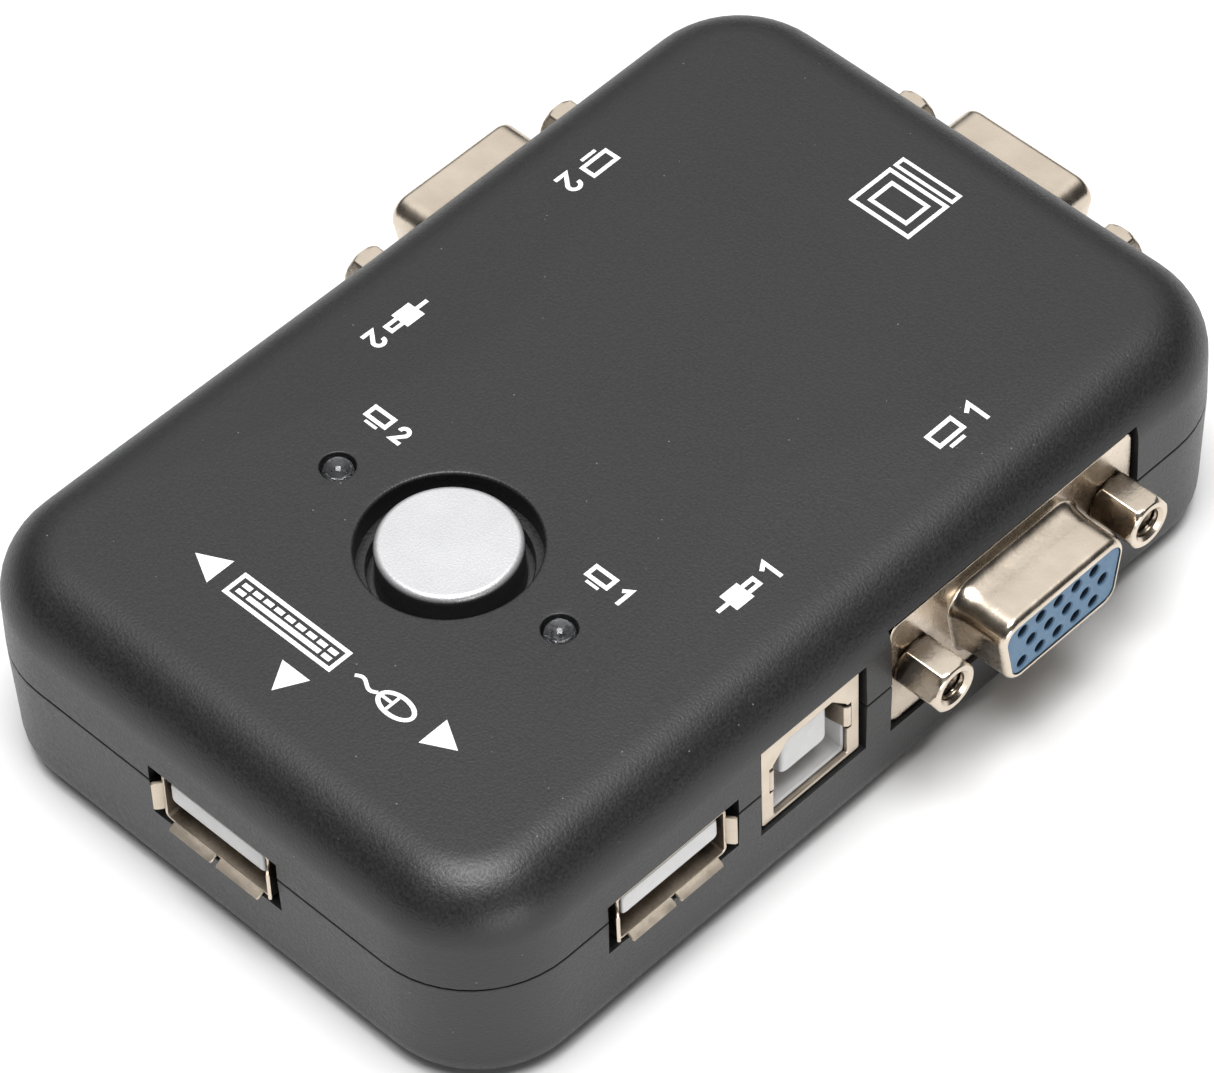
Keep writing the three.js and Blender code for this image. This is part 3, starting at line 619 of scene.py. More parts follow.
def finished(name, shape, look, nodes=(), body="case", matrix=None, sharp=28, squeezed=None):
    """Turns a solid into a piece in metres that rides on a body and stands for CAD nodes.

    A squeezed piece stays where it is instead of riding on a body.
    """
    shape.transform(Matrix.Scale(MM, 4) @ (matrix or Matrix.Identity(4)))
    mesh = as_mesh(name, shape)
    mesh.shade_smooth()
    mesh.set_sharp_from_angle(angle=math.radians(sharp))
    mesh.materials.append(look)
    piece = linked(name, mesh)
    weights = piece.modifiers.new("normals", "WEIGHTED_NORMAL")
    weights.keep_sharp = True
    weights.mode = "FACE_AREA"
    if squeezed:
        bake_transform(piece)
    else:
        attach(piece, body)
    if nodes:
        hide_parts(*nodes)


# ---- case ----

def waist_half(y):
    return WAIST_HALF + math.hypot(WAIST_SPREAD * (y - WAIST_Y), WAIST_BLEND) - WAIST_BLEND


def wing_drop(x, y):
    return WING_SLOPE * max(0.0, abs(x) - waist_half(y))


UPPER_LEAN = math.tan(math.radians(UPPER_DRAFT)) * (TOP - TOP_FILLET - SEAM)
LOWER_LEAN = math.tan(math.radians(LOWER_DRAFT)) * (SEAM - BASE_FILLET)
LID_EDGE = HALF_X - UPPER_LEAN - TOP_FILLET


def lid_z(x, y):
    return TOP - wing_drop(min(abs(x), LID_EDGE), y)


def case_ring(inset, z):
    """Rounded rectangle at one height, with enough points to follow the lid's relief."""
    half_x, half_y, radius = HALF_X - inset, HALF_Y - inset, CORNER_R - inset
    arc, long_stops, short_stops = 12, 56, 30
    points = []
    for sx, sy, start, stops in ((1, 1, 0, short_stops), (-1, 1, 90, long_stops),
                                 (-1, -1, 180, short_stops), (1, -1, 270, long_stops)):
        for k in range(arc + 1):
            angle = math.radians(start + 90 * k / arc)
            points.append((
                sx * (half_x - radius) + radius * math.cos(angle),
                sy * (half_y - radius) + radius * math.sin(angle),
            ))
        for k in range(1, stops + 1):
            share = 1 - 2 * k / (stops + 1)
            if stops == short_stops:
                points.append((sx * share * (half_x - radius), sy * half_y))
            else:
                points.append((sx * half_x, sy * share * (half_y - radius)))
    return [(x, y, z) for x, y in points]


def fillet(inset, z, radius, direction, steps):
    """Inset and height pairs round a quarter turn that starts on a wall."""
    return [(inset + radius * (1 - c), z + direction * radius * s) for c, s in quarter(steps)]


def relieved(ring):
    """Lowers one ring of the lid by its share of the relief on top."""
    out = []
    for x, y, z in ring:
        share = max(0.0, z - SEAM) / (TOP - SEAM)
        out.append((x, y, z - share * wing_drop(min(abs(x), LID_EDGE), y)))
    return out


def lid_solid():
    ceiling = TOP - TOP_WALL
    step_z = SEAM + LIP_HEIGHT + 0.2
    low = SEAM + SEAM_HALF
    inner_r = TOP_FILLET - WALL
    inside = fillet(WALL + 0.1, ceiling - inner_r, inner_r, 1, 6)[::-1]
    profile = inside + [
        (WALL, step_z), (WALL - LIP_THICK - 0.2, step_z), (WALL - LIP_THICK - 0.2, low), (EDGE_R, low),
        (EDGE_R * 0.3, low + EDGE_R * 0.3), (0, low + EDGE_R),
    ]
    rings = [case_ring(inset, z) for inset, z in profile]
    outside = fillet(UPPER_LEAN, TOP - TOP_FILLET, TOP_FILLET, 1, 12)
    rings += [relieved(case_ring(inset, z)) for inset, z in outside]
    rim = case_ring(outside[-1][0], TOP)
    count = 22
    for k in range(1, count):
        share = 1 - k / count
        rings.append([(x * share, y * share, lid_z(x * share, y * share)) for x, y, _ in rim])
    return skin(rings)


def tray_solid():
    top = SEAM - SEAM_HALF
    base = fillet(LOWER_LEAN, BASE_FILLET, BASE_FILLET, -1, 8)[::-1]
    profile = base + [
        (0, top - EDGE_R), (EDGE_R * 0.3, top - EDGE_R * 0.3), (EDGE_R, top),
        (WALL - LIP_THICK, top), (WALL - LIP_THICK, SEAM + LIP_HEIGHT), (WALL, SEAM + LIP_HEIGHT),
    ]
    profile += fillet(WALL + 0.3, FLOOR + 1.5, 1.5, -1, 4)
    return skin([case_ring(inset, z) for inset, z in profile])


def lipped_hole(radius, bottom, top, edge, sides=96):
    """Tool for an upright hole whose upper rim is rounded over."""
    rim = [(radius + edge * (1 - c), top - edge * (1 - s)) for c, s in quarter(5)]
    return turned([(0, bottom), (radius, bottom)] + rim + [(radius + edge, top + 1), (0, top + 1)], sides)


# ---- sockets: each is drawn looking outward along +X with the mating face at x = 0 ----

VIDEO = ("vga_source1", "vga_source2", "vga_monitor")
PORT_A = ("usb_a_right", "usb_a_left", "usb_a_front")
PORT_B = ("usb_b_source1", "usb_b_source2")
TURNS = {
    "vga_source1": 0, "vga_source2": 180, "vga_monitor": 90,
    "usb_a_right": 0, "usb_a_left": 180, "usb_a_front": -90,
    "usb_b_source1": 0, "usb_b_source2": 180,
}


def socket_frame(name):
    """Place and turn of a socket's mating face, read from the box of its CAD shell."""
    low, high = mm_box(name + "_shell")
    middle = middle_of(name + "_shell")
    if name in VIDEO:
        reach, z = D_SHAPE["reach"], middle.z
    elif name in PORT_A:
        reach, z = USB_A["reach"], high.z - USB_A["height"] / 2
    else:
        reach, z = 0.0, high.z - USB_B["height"] / 2
    turn = math.radians(TURNS[name])
    outward = Vector((round(math.cos(turn)), round(math.sin(turn)), 0))
    half = (high - low) / 2
    front = middle + Vector([half[i] * outward[i] for i in range(3)])
    origin = front - outward * reach
    origin.z = z
    return Matrix.Translation(origin) @ Matrix.Rotation(turn, 4, "Z")


OPENINGS = {"vga": (31.5, 13.1), "usb_a": (15.6, 6.3), "usb_b": (13.0, 10.9)}
OPENING_DEPTH = 4.0
FLANGE_SEAT = 0.87
FLANGE_LIP = 0.8


def opening_tools():
    """Blocks for the openings in the case walls, with a lip behind each video flange."""
    tools = []
    for name in VIDEO + PORT_A + PORT_B:
        width, height = next(size for key, size in OPENINGS.items() if name.startswith(key))
        half_w, half_h = width / 2, height / 2
        depth = FLANGE_SEAT if name in VIDEO else OPENING_DEPTH
        tool = box(-depth, 2, -half_w, half_w, -half_h, half_h)
        if name in VIDEO:
            half_w, half_h = half_w - FLANGE_LIP, half_h - FLANGE_LIP
            tool = joined(tool, box(-OPENING_DEPTH, 0, -half_w, half_w, -half_h, half_h))
        tools.append(moved(tool, socket_frame(name)))
    return gathered(tools)


def d_outline(inset, steps=8):
    lean = math.tan(math.radians(D_ANGLE))
    radius = max(D_SHAPE["corner"] - inset, 0.4)
    half_h = D_SHAPE["height"] / 2 - inset
    slant = inset / math.cos(math.radians(D_ANGLE)) - inset * lean
    top = D_SHAPE["width"] / 2 - slant
    bottom = top - 2 * half_h * lean
    return rounded([(top, half_h), (-top, half_h), (-bottom, -half_h), (bottom, -half_h)], radius, steps)


def vga_shell():
    half_w, half_h, thick = FLANGE["width"] / 2, FLANGE["height"] / 2, FLANGE["thick"]
    corner, reach = FLANGE["corner"], D_SHAPE["reach"]
    soft = 0.16
    edge = [(-soft + soft * s, soft * (1 - c)) for c, s in quarter(3)]
    plate = along(inset_panel(half_w, half_h, corner), [(-thick, 0)] + edge)
    root, sweep, rim = 0.85, 2.3, 0.72
    layers = [(-0.4, -root)] + [(sweep * (1 - c), root * (s - 1)) for c, s in quarter(9)]
    layers += [(reach - rim * (1 - s), rim * (1 - c)) for c, s in quarter(7)]
    barrel = along(d_outline, layers)
    wall = D_SHAPE["wall"]
    bore = along(d_outline, [(-2, wall), (reach - 0.1, wall), (reach + 1, wall - 0.06)])
    hole = [(0, -2), (JACK_HOLE_R, -2), (JACK_HOLE_R, 1), (0, 1)]
    holes = [rod_x(s * JACK_SPACING / 2, 0, hole) for s in (-1, 1)]
    return cut(joined(plate, barrel), gathered([bore] + holes))


def pin_spots():
    spots = []
    for z, stagger in ((PIN_ROW, 0), (0, PIN_PITCH / 2), (-PIN_ROW, 0)):
        start = -2 * PIN_PITCH - PIN_PITCH / 4 + stagger
        spots += [(start + k * PIN_PITCH, z) for k in range(5)]
    return spots


def vga_insert():
    wall = D_SHAPE["wall"]
    face = D_SHAPE["reach"] - 0.12
    nose = along(d_outline, [(-2, wall), (face - 0.1, wall), (face, wall + 0.1)])
    bottom, mouth_r = face - 4.5, PIN_R + 0.12
    profile = [
        (0, bottom), (PIN_R, bottom), (PIN_R, face - 0.14), (mouth_r, face + 0.01), (mouth_r, face + 0.5),
        (0, face + 0.5),
    ]
    return cut(nose, gathered([rod_x(y, z, profile, 20) for y, z in pin_spots()]))


def jackscrew():
    """Hexagonal standoff with turned shoulders, a countersunk mouth and a female thread."""
    point = JACK_FLATS / math.sqrt(3)
    arc_steps, flat_steps = 3, 7
    rim = rounded([(point * c, point * s) for c, s in circle(6)], 0.28, arc_steps)
    section = []
    for i, (y, z) in enumerate(rim):
        after = rim[(i + 1) % len(rim)]
        steps = flat_steps if i % (arc_steps + 1) == arc_steps else 1
        to_y, to_z = after[0] - y, after[1] - z
        section += [(y + to_y * k / steps, z + to_z * k / steps) for k in range(steps)]
    shank, bore, mouth, cone = 1.42, 1.45, 1.78, 0.3
    profile = [
        (-4.5, shank - 0.25), (-4.25, shank), (0.05, shank), (0.05, 2.42), (0.18, 2.56), (0.42, point),
        (JACK_REACH - 0.55, point), (JACK_REACH - 0.3, 2.56), (JACK_REACH - 0.12, 2.44),
        (JACK_REACH, 2.3), (JACK_REACH, mouth), (JACK_REACH - cone, bore),
    ]
    layers = []
    for x, limit in profile:
        shrinks = [min(1.0, limit / math.hypot(y, z)) for y, z in section]
        layers.append([(x, y * shrink, z * shrink) for (y, z), shrink in zip(section, shrinks)])
    angles = [math.atan2(z, y) for y, z in section]
    depth, ridge, per_turn = 3.4, 0.24, 8
    for k in range(1, int(depth / THREAD_PITCH * per_turn) + 1):
        x = JACK_REACH - cone - k * THREAD_PITCH / per_turn
        fade = min(1.0, k / per_turn)
        out = []
        for angle in angles:
            phase = (k / per_turn + angle / (2 * math.pi)) % 1
            radius = bore - ridge * fade * (1 - abs(2 * phase - 1))
            out.append((x, radius * math.cos(angle), radius * math.sin(angle)))
        layers.append(out)
    tip_x, tip_r = layers[-1][0][0] - 0.3, 0.2
    layers.append([(tip_x, tip_r * math.cos(a), tip_r * math.sin(a)) for a in angles])
    return skin(layers)


def flare_path(half, rise):
    """Centre line of a tube wall that curls outward at the mouth."""
    inner = half - USB_A["wall"] / 2
    start, reach = -0.35, USB_A["reach"] - 0.12
    curl = [(start + (reach - start) * k / 6, inner + rise * (k / 6) ** 1.3) for k in range(1, 7)]
    return [(-0.9, inner), (start, inner)] + curl


def tongue_solid(half_w, low, high, tail, tip, soft, corner, steps):
    """Bar along X whose front edges are rounded over."""
    layers = [(tail, 0)] + [(tip - soft * (1 - s), soft * (1 - c)) for c, s in quarter(steps)]
    return moved(along(inset_panel(half_w, (high - low) / 2, corner), layers), shift(z=(low + high) / 2))


def usb_a_shell():
    half_w, half_h = USB_A["width"] / 2, USB_A["height"] / 2
    depth, wall = USB_A["depth"], USB_A["wall"]
    outer, inner, edge = 0.55, 0.3, 0.06
    outside = inset_panel(half_w, half_h, outer)
    inside = inset_panel(half_w - wall, half_h - wall, inner)
    tube = along_x([
        (-depth, outside(0)), (-edge, outside(0)), (0, outside(edge)),
        (0, inside(-0.05)), (-0.05, inside(0)), (wall - depth, inside(0)),
    ])
    slots = []
    for s in (-1, 1):
        slots.append(box(-6.5, -2.0, s * 3 - 1.5, s * 3 + 1.5, -half_h - 1, -half_h + wall + 0.1))
        slots.append(box(-9.5, -3.5, s * half_w - 0.9, s * half_w + 0.9, -0.8, 0.8))
    tube = cut(tube, gathered(slots))
    lips = []
    for s in (-1, 1):
        lower = strip(flare_path(half_h, 0.55), [2.62] * 7 + [2.5], wall, s * 2.85)
        lips.append(tidied(moved(lower, Matrix.Scale(-1, 4, (0, 0, 1)))))
        lips.append(rolled(strip(flare_path(half_w, 0.72), [1.8] * 7 + [1.68], wall), s))
    return joined(tube, gathered(lips))


def sprung(start, pitch, level, rise):
    """Path of a leaf that starts flat and bows up towards its tip."""
    return [(start + pitch * k, level + rise * math.sin(math.pi * (k / 8) ** 1.3)) for k in range(9)]


def usb_a_fingers():
    """Spring fingers in the floor and sides of the tube."""
    half_w, half_h, wall = USB_A["width"] / 2, USB_A["height"] / 2, USB_A["wall"]
    parts = []
    for s in (-1, 1):
        path = sprung(-6.45, 0.5, -half_h + wall / 2, 0.55)
        parts.append(strip(path, [1.1] * 7 + [0.95, 0.7], wall * 0.8, s * 3))
        finger = strip(sprung(-9.4, 0.72, -half_w + wall / 2, 0.45), [0.6] * 8 + [0.45], wall * 0.8)
        parts.append(rolled(finger, s))
    return gathered(parts)


def usb_a_insert():
    """Block at the back of the tube with the tongue, grooved underneath for its contacts."""
    slack = USB_A["wall"] + 0.05
    filler = inset_panel(USB_A["width"] / 2, USB_A["height"] / 2, 0.3)
    block = along(filler, [(-13.6, slack), (USB_A_TONGUE["root"], slack)])
    top = USB_A_TONGUE["top"]
    under = top - USB_A_TONGUE["thick"]
    tongue = tongue_solid(
        USB_A_TONGUE["width"] / 2, under, top, USB_A_TONGUE["root"] - 0.5, USB_A_TONGUE["front"],
        soft=0.22, corner=0.42, steps=4,
    )
    grooves = [box(-7.9, -1.3, y - 0.75, y + 0.75, under - 1, under + 0.25) for y in CONTACT_ROWS]
    return cut(joined(block, tongue), gathered(grooves))


def usb_a_contacts():
    """Four sprung contacts lying in the grooves under the tongue."""
    level = USB_A_TONGUE["top"] - USB_A_TONGUE["thick"] + 0.12
    path = [(-7.7 + 0.78 * k, level - 0.3 * math.sin(math.pi * (k / 8) ** 1.6)) for k in range(9)]
    return gathered([strip(path, [0.5] * 8 + [0.4], 0.18, y) for y in CONTACT_ROWS])


def mouth_outline(grow):
    half, high, low = MOUTH["width"] / 2 + grow, MOUTH["top"] + grow, MOUTH["bottom"] - grow
    chamfer = MOUTH["chamfer"]
    corners = [(half, high - chamfer), (half - chamfer, high), (chamfer - half, high),
               (-half, high - chamfer), (-half, low), (half, low)]
    return rounded(corners, 0.25, 3)


def usb_b_shell():
    half_w, half_h = USB_B["width"] / 2, USB_B["height"] / 2
    depth, wall = USB_B["depth"], USB_B["wall"]
    can = along(inset_panel(half_w, half_h, 0.3), [(-depth, 0), (-0.1, 0), (-0.03, 0.03), (0, 0.1)])
    hollow = along(inset_panel(half_w, half_h, 0.2), [(wall - depth, wall), (-wall, wall)])
    mouth = along(mouth_outline, [(-1, 0), (-0.08, 0), (0.02, 0.08), (1, 0.08)])
    can = cut(cut(can, mouth), hollow)
    side = MOUTH["width"] / 2
    notches = [box(-wall - 0.05, 1, s * side - 0.5, s * side + 0.5, -1.4, 1.8) for s in (-1, 1)]
    return cut(can, gathered(notches))


def usb_b_springs():
    """Side springs folded back into the mouth from the front rim."""
    half = MOUTH["width"] / 2
    bow = [(-0.25 - 0.75 * k, -half + 0.12 + 0.34 * math.sin(math.pi * k / 8)) for k in range(6, 0, -1)]
    fold = [(-0.25, -half + 0.12), (-0.05, -half - 0.08), (-0.02, -half - 0.3), (-0.15, -half - 0.42)]
    parts = []
    for s in (-1, 1):
        spring = strip(bow + fold, [0.9] * 2 + [1.3] * 8, 0.24)
        parts.append(moved(rolled(spring, s), shift(z=0.2)))
    return gathered(parts)


def usb_b_insert():
    """Block behind the mouth, hollowed round its tongue."""
    wall = USB_B["wall"]
    slack = wall + 0.03
    filler = inset_panel(USB_B["width"] / 2, USB_B["height"] / 2, 0.2)
    block = along(filler, [(-USB_B["depth"] + wall + 0.1, slack), (-wall - 0.25, slack)])
    cavity = along(mouth_outline, [(-9.4, -0.1), (-0.8, -0.05), (-0.45, 0.15), (1, 0.15)])
    return joined(cut(block, cavity), tongue_solid(**USB_B_TONGUE, soft=0.5, corner=0.55, steps=5))


def usb_b_contacts():
    """Four flat contacts, two on each face of the tongue."""
    proud = 0.02
    parts = []
    for y in (-1.25, 1.25):
        for z in (USB_B_TONGUE["low"] - proud, USB_B_TONGUE["high"] + proud):
            parts.append(strip([(-8.6 + 0.8 * k, z) for k in range(9)], [0.5] * 8 + [0.35], 0.14, y))
    return gathered(parts)


# ---- control pieces ----

def cap_solid(top):
    """Hollow button with a skirt that catches under the well's ledge."""
    skirt_top = TOP - WELL_DEPTH - LEDGE_THICK - 0.3
    skirt_low = skirt_top - CAP_SKIRT_HEIGHT
    inner, soft, root = CAP_R - CAP_WALL, 0.12, 0.3
    edge = [(CAP_R - CAP_EDGE * (1 - c), top - 0.04 - CAP_EDGE * (1 - s)) for c, s in quarter(10)]
    crown = [(4, top - 0.03), (2.4, top - 0.01), (0.9, top), (0, top)]
    return turned([
        (0, CAP_CEILING), (inner, CAP_CEILING), (inner, skirt_low), (CAP_SKIRT_R - soft, skirt_low),
        (CAP_SKIRT_R, skirt_low + soft), (CAP_SKIRT_R, skirt_top - soft), (CAP_SKIRT_R - soft, skirt_top),
        (CAP_R + root, skirt_top), (CAP_R + 0.09, skirt_top + 0.09), (CAP_R, skirt_top + root),
    ] + edge + crown, 96)


def coil_spring(low, high):
    """Helix of round wire that fills the box of the CAD spring."""
    steps, sides = 60, 12
    radius = (high.x - low.x) / 2 - SPRING_WIRE_R
    start, rise = low.z + SPRING_WIRE_R, high.z - low.z - 2 * SPRING_WIRE_R
    section = [(radius + SPRING_WIRE_R * c, SPRING_WIRE_R * s) for c, s in circle(sides)]
    rings = []
    for k in range(steps + 1):
        turn = 2 * math.pi * SPRING_TURNS * k / steps
        level = start + rise * k / steps
        rings.append([(r * math.cos(turn), r * math.sin(turn), level + z) for r, z in section])
    return skin(rings)


def lens_solid(top, bottom):
    """Round-headed lamp body with its flange."""
    flange_r, flange_top, soft = 1.9, bottom + 1, 0.1
    dome = [(LED_R * c, top - LED_R * (1 - s)) for c, s in quarter(12)]
    return turned([
        (0, bottom), (flange_r, bottom), (flange_r, flange_top - soft), (flange_r - soft, flange_top),
        (LED_R, flange_top),
    ] + dome, 48)


def lamp_frame(bottom):
    """Reflector cup, its two leadframe posts and a bright arc of rim, cast inside a lamp."""
    cup = turned([(0, 2.0), (0.5, 2.0), (0.95, 3.1), (0.86, 3.1), (0.4, 2.45), (0, 2.45)], 32)
    cup = moved(cup, shift(-0.2))
    posts = []
    for half_w, half_h, x0, x1, z in ((0.25, 1.05, -0.75, 0.0, 1.1), (0.2, 1.35, 0.45, 0.95, 1.4)):
        side = panel(half_w, half_h, 0.08)
        posts.append(moved(along_x([(x0, side), (x1, side)]), shift(z=z)))
    section = [(0.86, 4.1), (1.1, 4.1), (1.1, 4.2), (0.86, 4.2)]
    angles = [math.radians(-80 + 10 * k) for k in range(22)]
    arc = skin([[(r * math.cos(a), r * math.sin(a), z) for r, z in section] for a in angles])
    return moved(gathered([cup, *posts, arc]), shift(z=bottom))


def case_screw():
    """Screw standing on its head, with a cross recess below and a coarse thread above."""
    root_r, crest_r, pitch, low, high, tip = 1.0, 1.22, 0.9, 3.4, 17.4, 18.8
    profile = [(0, 1.5), (1.35, 1.5), (1.8, 1.62), (2.1, 1.9), (2.2, 2.3), (2.2, 3.2), (1.15, 3.2)]
    for k in range(int((high - low) / pitch)):
        z = low + k * pitch
        profile += [(root_r, z), (root_r, z + 0.35), (crest_r, z + 0.55), (root_r, z + 0.75)]
    profile += [(root_r, high + 0.1), (0.35, tip), (0, tip)]
    arm, half = 1.2, 0.26
    quadrant = [(half, arm), (-half, arm), (-half, half)]
    cross = []
    for _ in range(4):
        cross += quadrant
        quadrant = [(-y, x) for x, y in quadrant]
    recess = skin([[(x * k, y * k, z) for x, y in cross] for k, z in ((1.1, 1.2), (0.55, 2.5))])
    return cut(turned(profile, 40), recess)


# ---- printed marks: numerals and plain pictograms only ----

PRINT_PROUD = 0.02
PRINT_SUNK = 0.05
STROKE = 0.42


def dense(points, loop, step=0.9):
    """Adds points so that a mark follows the lid."""
    ends = points[1:] + points[:1] if loop else points[1:]
    out = []
    for (x0, y0), (x1, y1) in zip(points, ends):
        count = max(1, math.ceil(math.dist((x0, y0), (x1, y1)) / step))
        out += [(x0 + (x1 - x0) * k / count, y0 + (y1 - y0) * k / count) for k in range(count)]
    return out if loop else out + [points[-1]]


def ribbon(points, width=STROKE, loop=False):
    """Left and right edge pairs of a stroke with mitred corners."""
    points = dense(points, loop)
    pairs = []
    for i, point in enumerate(points):
        here = Vector(point)
        runs = []
        if loop or i:
            runs.append(here - Vector(points[i - 1]))
        if loop or i + 1 < len(points):
            runs.append(Vector(points[(i + 1) % len(points)]) - here)
        sides = [Vector((-run.y, run.x)).normalized() for run in runs]
        normal = sum(sides, Vector((0, 0))).normalized()
        reach = width / 2 / max(0.5, normal.dot(sides[0]))
        pairs.append((here + normal * reach, here - normal * reach))
    return pairs


def mark(kind, points, **options):
    return kind, points, options


def rectangle(x0, x1, y0, y1):
    return [(x0, y0), (x1, y0), (x1, y1), (x0, y1)]


def digit(number, left, height):
    """Numeral 1 or 2 on the baseline, drawn with one stroke."""
    half = STROKE / 2
    high = height - half
    if number == 1:
        stem = left + 0.42 * height
        return [mark("line", [(left + half, high - 0.24 * height), (stem, high), (stem, 0)])]
    radius = 0.27 * height - half / 2
    centre = (left + half + radius, high - radius)
    path = [(centre[0] - radius * math.cos(a), centre[1] + radius * math.sin(a))
            for a in (math.radians(-10 + 215 * k / 12) for k in range(13))]
    path += [(left + half + 0.05, half), (left + 2 * radius + STROKE, half)]
    return [mark("line", path)]


def screen(left, height):
    """Small screen on a stand."""
    half = STROKE / 2
    right = left + 1.3 * height
    middle, foot = (left + right) / 2, 0.34 * height
    return [
        mark("loop", rectangle(left + half, right - half, foot, height - half)),
        mark("fill", rectangle(middle - foot, middle + foot, 0, 0.14 * height)),
    ]


def plug(left, height):
    """Lead with a moulded body and an open metal end."""
    half, middle = STROKE / 2, height / 2
    body, tip, far = left + 1.3, left + 3.4, left + 4.9
    low, high = middle - 0.26 * height + half, middle + 0.26 * height - half
    return [
        mark("line", [(left, middle), (body - 0.02, middle)]),
        mark("fill", rectangle(body, tip, 0.06 * height, 0.94 * height)),
        mark("line", [(tip + 0.02, low), (far - half, low), (far - half, high), (tip + 0.02, high)]),
    ]


def keyboard(left, width, height):
    """Outline with a row of keys and a row that holds the space bar."""
    half = STROKE / 2
    columns, gap, key_h, margin, upper, lower = 9, 0.32, 0.5, 0.85, 1.53, 0.75
    pitch = (width - 2 * margin + gap) / columns
    key_w = pitch - gap
    edges = [left + margin + k * pitch for k in range(columns)]
    keys = [(x, x + key_w, upper) for x in edges]
    keys += [(edges[0], edges[0] + key_w, lower), (edges[1], edges[-1] - gap, lower),
             (edges[-1], edges[-1] + key_w, lower)]
    frame_line = rectangle(left + half, left + width - half, half, height - half)
    fills = [mark("fill", rectangle(x0, x1, low, low + key_h)) for x0, x1, low in keys]
    return [mark("loop", frame_line)] + fills


def mouse(left, width, height):
    """Pointing device lying on its side, with two buttons and a curled lead."""
    half, fine, gap = STROKE / 2, 0.3, 0.04
    body_w = 0.6 * width
    cx, cy = left + width - body_w / 2, height / 2
    reach, rise = body_w / 2 - half, height / 2 - half
    body = [(cx + reach * c, cy + rise * s) for c, s in circle(32)]
    tail_w = width - body_w - gap
    tail = [(left + tail_w * k / 12, cy + 0.3 * math.sin(math.pi * 2 * k / 12)) for k in range(13)]
    split = cx - 0.1 * body_w
    inner = rise * 0.97 - half - 0.03
    return [
        mark("loop", body), mark("line", tail, width=0.36),
        mark("line", [(split, cy - inner), (split, cy + inner)], width=fine),
        mark("line", [(cx - reach + half + gap, cy), (split - 0.17, cy)], width=fine),
    ]


def printed(name, marks, origin, angle):
    """Raises a label's marks on the lid, following its relief."""
    turn = math.radians(angle)

    def spot(point, lift):
        x = origin[0] + point[0] * math.cos(turn) - point[1] * math.sin(turn)
        y = origin[1] + point[0] * math.sin(turn) + point[1] * math.cos(turn)
        return x, y, lid_z(x, y) + lift

    shapes = []
    for kind, points, options in marks:
        if kind == "fill":
            outline = dense(points, True)
            shapes.append(skin([[spot(p, lift) for p in outline] for lift in (-PRINT_SUNK, PRINT_PROUD)]))
            continue
        rings = []
        for left, right in ribbon(points, options.get("width", STROKE), kind == "loop"):
            rings.append([spot(left, -PRINT_SUNK), spot(right, -PRINT_SUNK),
                          spot(right, PRINT_PROUD), spot(left, PRINT_PROUD)])
        shapes.append(skin(rings, loop=kind == "loop"))
    finished(name, gathered(shapes), PRINT)


# ---- build ----

add_camera()
add_studio()

CASE = case_look()
NICKEL = nickel_look("nickel", 0.2, 0.32)
TIN = nickel_look("tin_plate", 0.34, 0.48)
SILVER = silver_look()
BLUE = blue_look()
WHITE = white_look()
PRINT = print_look()
CLEAR = clear_look()
STEEL = steel_look()
GOLD = gold_look()

BUTTON = middle_of("button_cap")
LAMPS = ("led_source1", "led_source2")


def build_lid():
    on_button = shift(BUTTON.x, BUTTON.y)
    ledge_top = TOP - WELL_DEPTH
    collar = post(BUTTON.x, BUTTON.y, WELL_R + 1.3, ledge_top - LEDGE_THICK, TOP - TOP_WALL + 0.4, 64)
    lid = joined(lid_solid(), collar)
    well = moved(lipped_hole(WELL_R, ledge_top, TOP, WELL_EDGE), on_button)
    ledge = moved(lipped_hole(LEDGE_R, ledge_top - 5, ledge_top, 0.15), on_button)
    lid = cut(cut(lid, well), ledge)
    tools = []
    for name in LAMPS:
        middle = middle_of(name)
        tool = lipped_hole(LED_HOLE_R, TOP - 5, lid_z(middle.x, middle.y), 0.14, 48)
        tools.append(moved(tool, shift(middle.x, middle.y)))
    lid = cut(cut(lid, gathered(tools)), opening_tools())
    finished("lid", lid, CASE, ["top_shell"])


def screw_bore(head_r, head_top, shank_r, rim):
    """Tool for one countersunk bore in the tray, open below."""
    return turned([
        (0, -1), (head_r + rim, -1), (head_r + rim, 0), (head_r, rim), (head_r, head_top),
        (shank_r, head_top), (shank_r, 14), (0, 14),
    ], 48)


def build_tray():
    spots = [(sx * SCREW_X, sy * SCREW_Y) for sx, sy in ((1, 1), (-1, 1), (-1, -1), (1, -1))]
    posts = gathered([post(x, y, **SCREW_POST) for x, y in spots])
    bores = gathered([moved(screw_bore(**SCREW_BORE), shift(x, y)) for x, y in spots])
    tray = cut(cut(joined(tray_solid(), posts), bores), opening_tools())
    finished("tray", tray, CASE, ["bottom_shell"])
    screw = case_screw()
    for i, (x, y) in enumerate(spots, 1):
        finished(f"screw_{i}", screw.copy(), STEEL, [f"case_screw_{i}"],
                 matrix=shift(x, y) @ Matrix.Rotation(0.7 * i, 4, "Z"))
    screw.free()


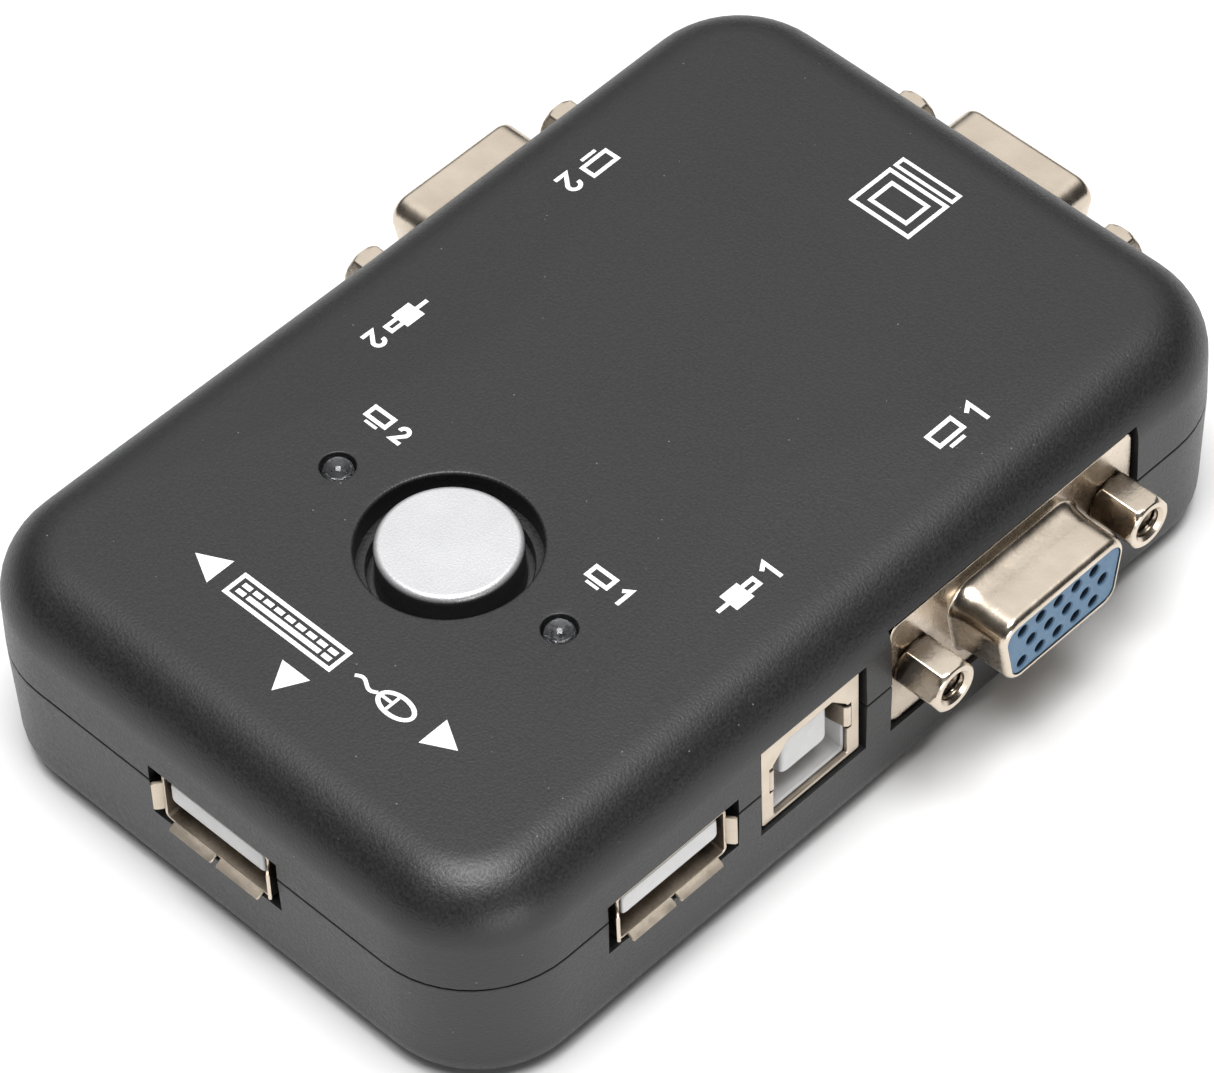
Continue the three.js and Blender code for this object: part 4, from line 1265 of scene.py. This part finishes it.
def build_controls():
    on_button = shift(BUTTON.x, BUTTON.y)
    low, high = mm_box("button_cap")
    finished("push_button", cap_solid(high.z), SILVER, ["button_cap"],
             body="button", matrix=on_button)
    low, high = mm_box("switch_spring")
    finished("return_spring", coil_spring(low, high), STEEL, ["switch_spring"],
             matrix=on_button, squeezed=(low.z, high.z))
    for name in LAMPS:
        low, high = mm_box(name)
        middle = middle_of(name)
        spot = shift(middle.x, middle.y)
        finished(name + "_lens", lens_solid(high.z, low.z), CLEAR, [name], matrix=spot)
        finished(name + "_frame", lamp_frame(low.z), STEEL,
                 matrix=spot @ Matrix.Rotation(math.radians(-40), 4, "Z"))


def build_set(names, parts):
    """Places copies of each part at every socket of one kind."""
    for suffix, shape, look, slot, nodes in parts:
        for name in names:
            stood_for = [f"{name}_{node}" for node in nodes]
            finished(f"{name}_{suffix}", shape.copy(), look, stood_for, matrix=socket_frame(name))
        shape.free()


def build_sockets():
    screw = jackscrew()
    screws = []
    for i, side in enumerate((-1, 1), 1):
        copy = moved(screw.copy(), shift(y=side * JACK_SPACING / 2))
        screws.append((f"screw_{i}", copy, NICKEL, "nickel", [f"jackscrew_{i}"]))
    screw.free()
    build_set(VIDEO, [
        ("flange", vga_shell(), NICKEL, "nickel", ["shell"]),
        ("face", vga_insert(), BLUE, "vga_blue", ["insert"]),
    ] + screws)
    build_set(PORT_A, [
        ("tube", usb_a_shell(), TIN, "nickel", ["shell"]),
        ("fingers", usb_a_fingers(), TIN, "nickel", []),
        ("tongue", usb_a_insert(), WHITE, "connector_white", ["insert"]),
        ("contacts", usb_a_contacts(), GOLD, "nickel", []),
    ])
    build_set(PORT_B, [
        ("can", usb_b_shell(), TIN, "nickel", ["shell"]),
        ("springs", usb_b_springs(), TIN, "nickel", []),
        ("block", usb_b_insert(), WHITE, "connector_white", ["insert"]),
        ("contacts", usb_b_contacts(), GOLD, "nickel", []),
    ])


def build_lamp_and_socket_marks():
    """A pictogram and a digit by each lamp, video socket and USB-B socket of a source."""
    for number, side, video_start, port_start in ((1, 1, -0.3, -1.0), (2, -1, 6.0, 7.6)):
        lamp, height = middle_of(f"led_source{number}"), 2.1
        marks = screen(0, height) + digit(number, 1.3 * height + 0.75, height)
        printed(f"mark_lamp_{number}", marks, (lamp.x - 2.7, lamp.y + 5.1), 0)
        video, height = middle_of(f"vga_source{number}_shell"), 2.6
        marks = screen(0, height) + digit(number, 1.3 * height + 0.95, height)
        printed(f"mark_video_{number}", marks, (side * 23.7, video.y + video_start), side * 90)
        port, height = middle_of(f"usb_b_source{number}_shell"), 2.35
        marks = plug(0, height) + digit(number, 5.6, height)
        printed(f"mark_port_{number}", marks, (side * 22.8, port.y + port_start), side * 90)


ARROWS = {
    "left": [(-15.1, 1.4), (-12.0, -0.2), (-12.0, 3.0)],
    "middle": [(-1.2, -1.7), (0.5, -4.6), (2.1, -1.7)],
    "right": [(16.4, 1.4), (13.4, 3.1), (13.4, -0.2)],
}
CONSOLE_LINE = -16.6
MONITOR_BASE = 32.9


def build_console_and_monitor_marks():
    """Keyboard and mouse between three arrows near the button, and a screen at the far end."""
    line_y = BUTTON.y + CONSOLE_LINE
    printed("mark_console", keyboard(0, 13.0, 2.8) + mouse(14.8, 7.0, 2.5), (-10.4, line_y), 0)
    for name, points in ARROWS.items():
        printed(f"mark_{name}", [mark("fill", points)], (0, line_y), 0)
    printed("mark_monitor", [
        mark("loop", rectangle(-2.5, 4.25, 0.25, 5.25)),
        mark("loop", rectangle(-1.25, 3.0, 1.35, 4.15)),
        mark("loop", rectangle(-2.5, 4.25, 6.0, 7.0), width=0.36),
    ], (0, MONITOR_BASE), 0)


def dress_nodes():
    """Materials for the CAD nodes that stay: the hidden board, switch and leads."""
    board, chip = board_look(), chip_look()
    looks = {"circuit_board": board, "switch_stem": WHITE, "crystal": STEEL}
    for name in ("switch_body", "capacitor_1", "capacitor_2", "video_chip_1", "video_chip_2", "usb_chip"):
        looks[name] = chip
    for name in LAMPS:
        looks.update({name + "_lead_1": STEEL, name + "_lead_2": STEEL})
    for name, look in looks.items():
        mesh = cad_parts[name].data
        mesh.materials.clear()
        mesh.materials.append(look)


def add_floor():
    half = 2.5
    shape = bmesh.new()
    shape.faces.new([shape.verts.new((x, y, 0)) for x, y in rectangle(-half, half, -half, half)])
    mesh = as_mesh("floor", shape)
    mesh.materials.append(floor_look())
    floor = linked("floor", mesh)


build_lid()
build_tray()
build_controls()
build_sockets()
build_lamp_and_socket_marks()
build_console_and_monitor_marks()
dress_nodes()
add_floor()
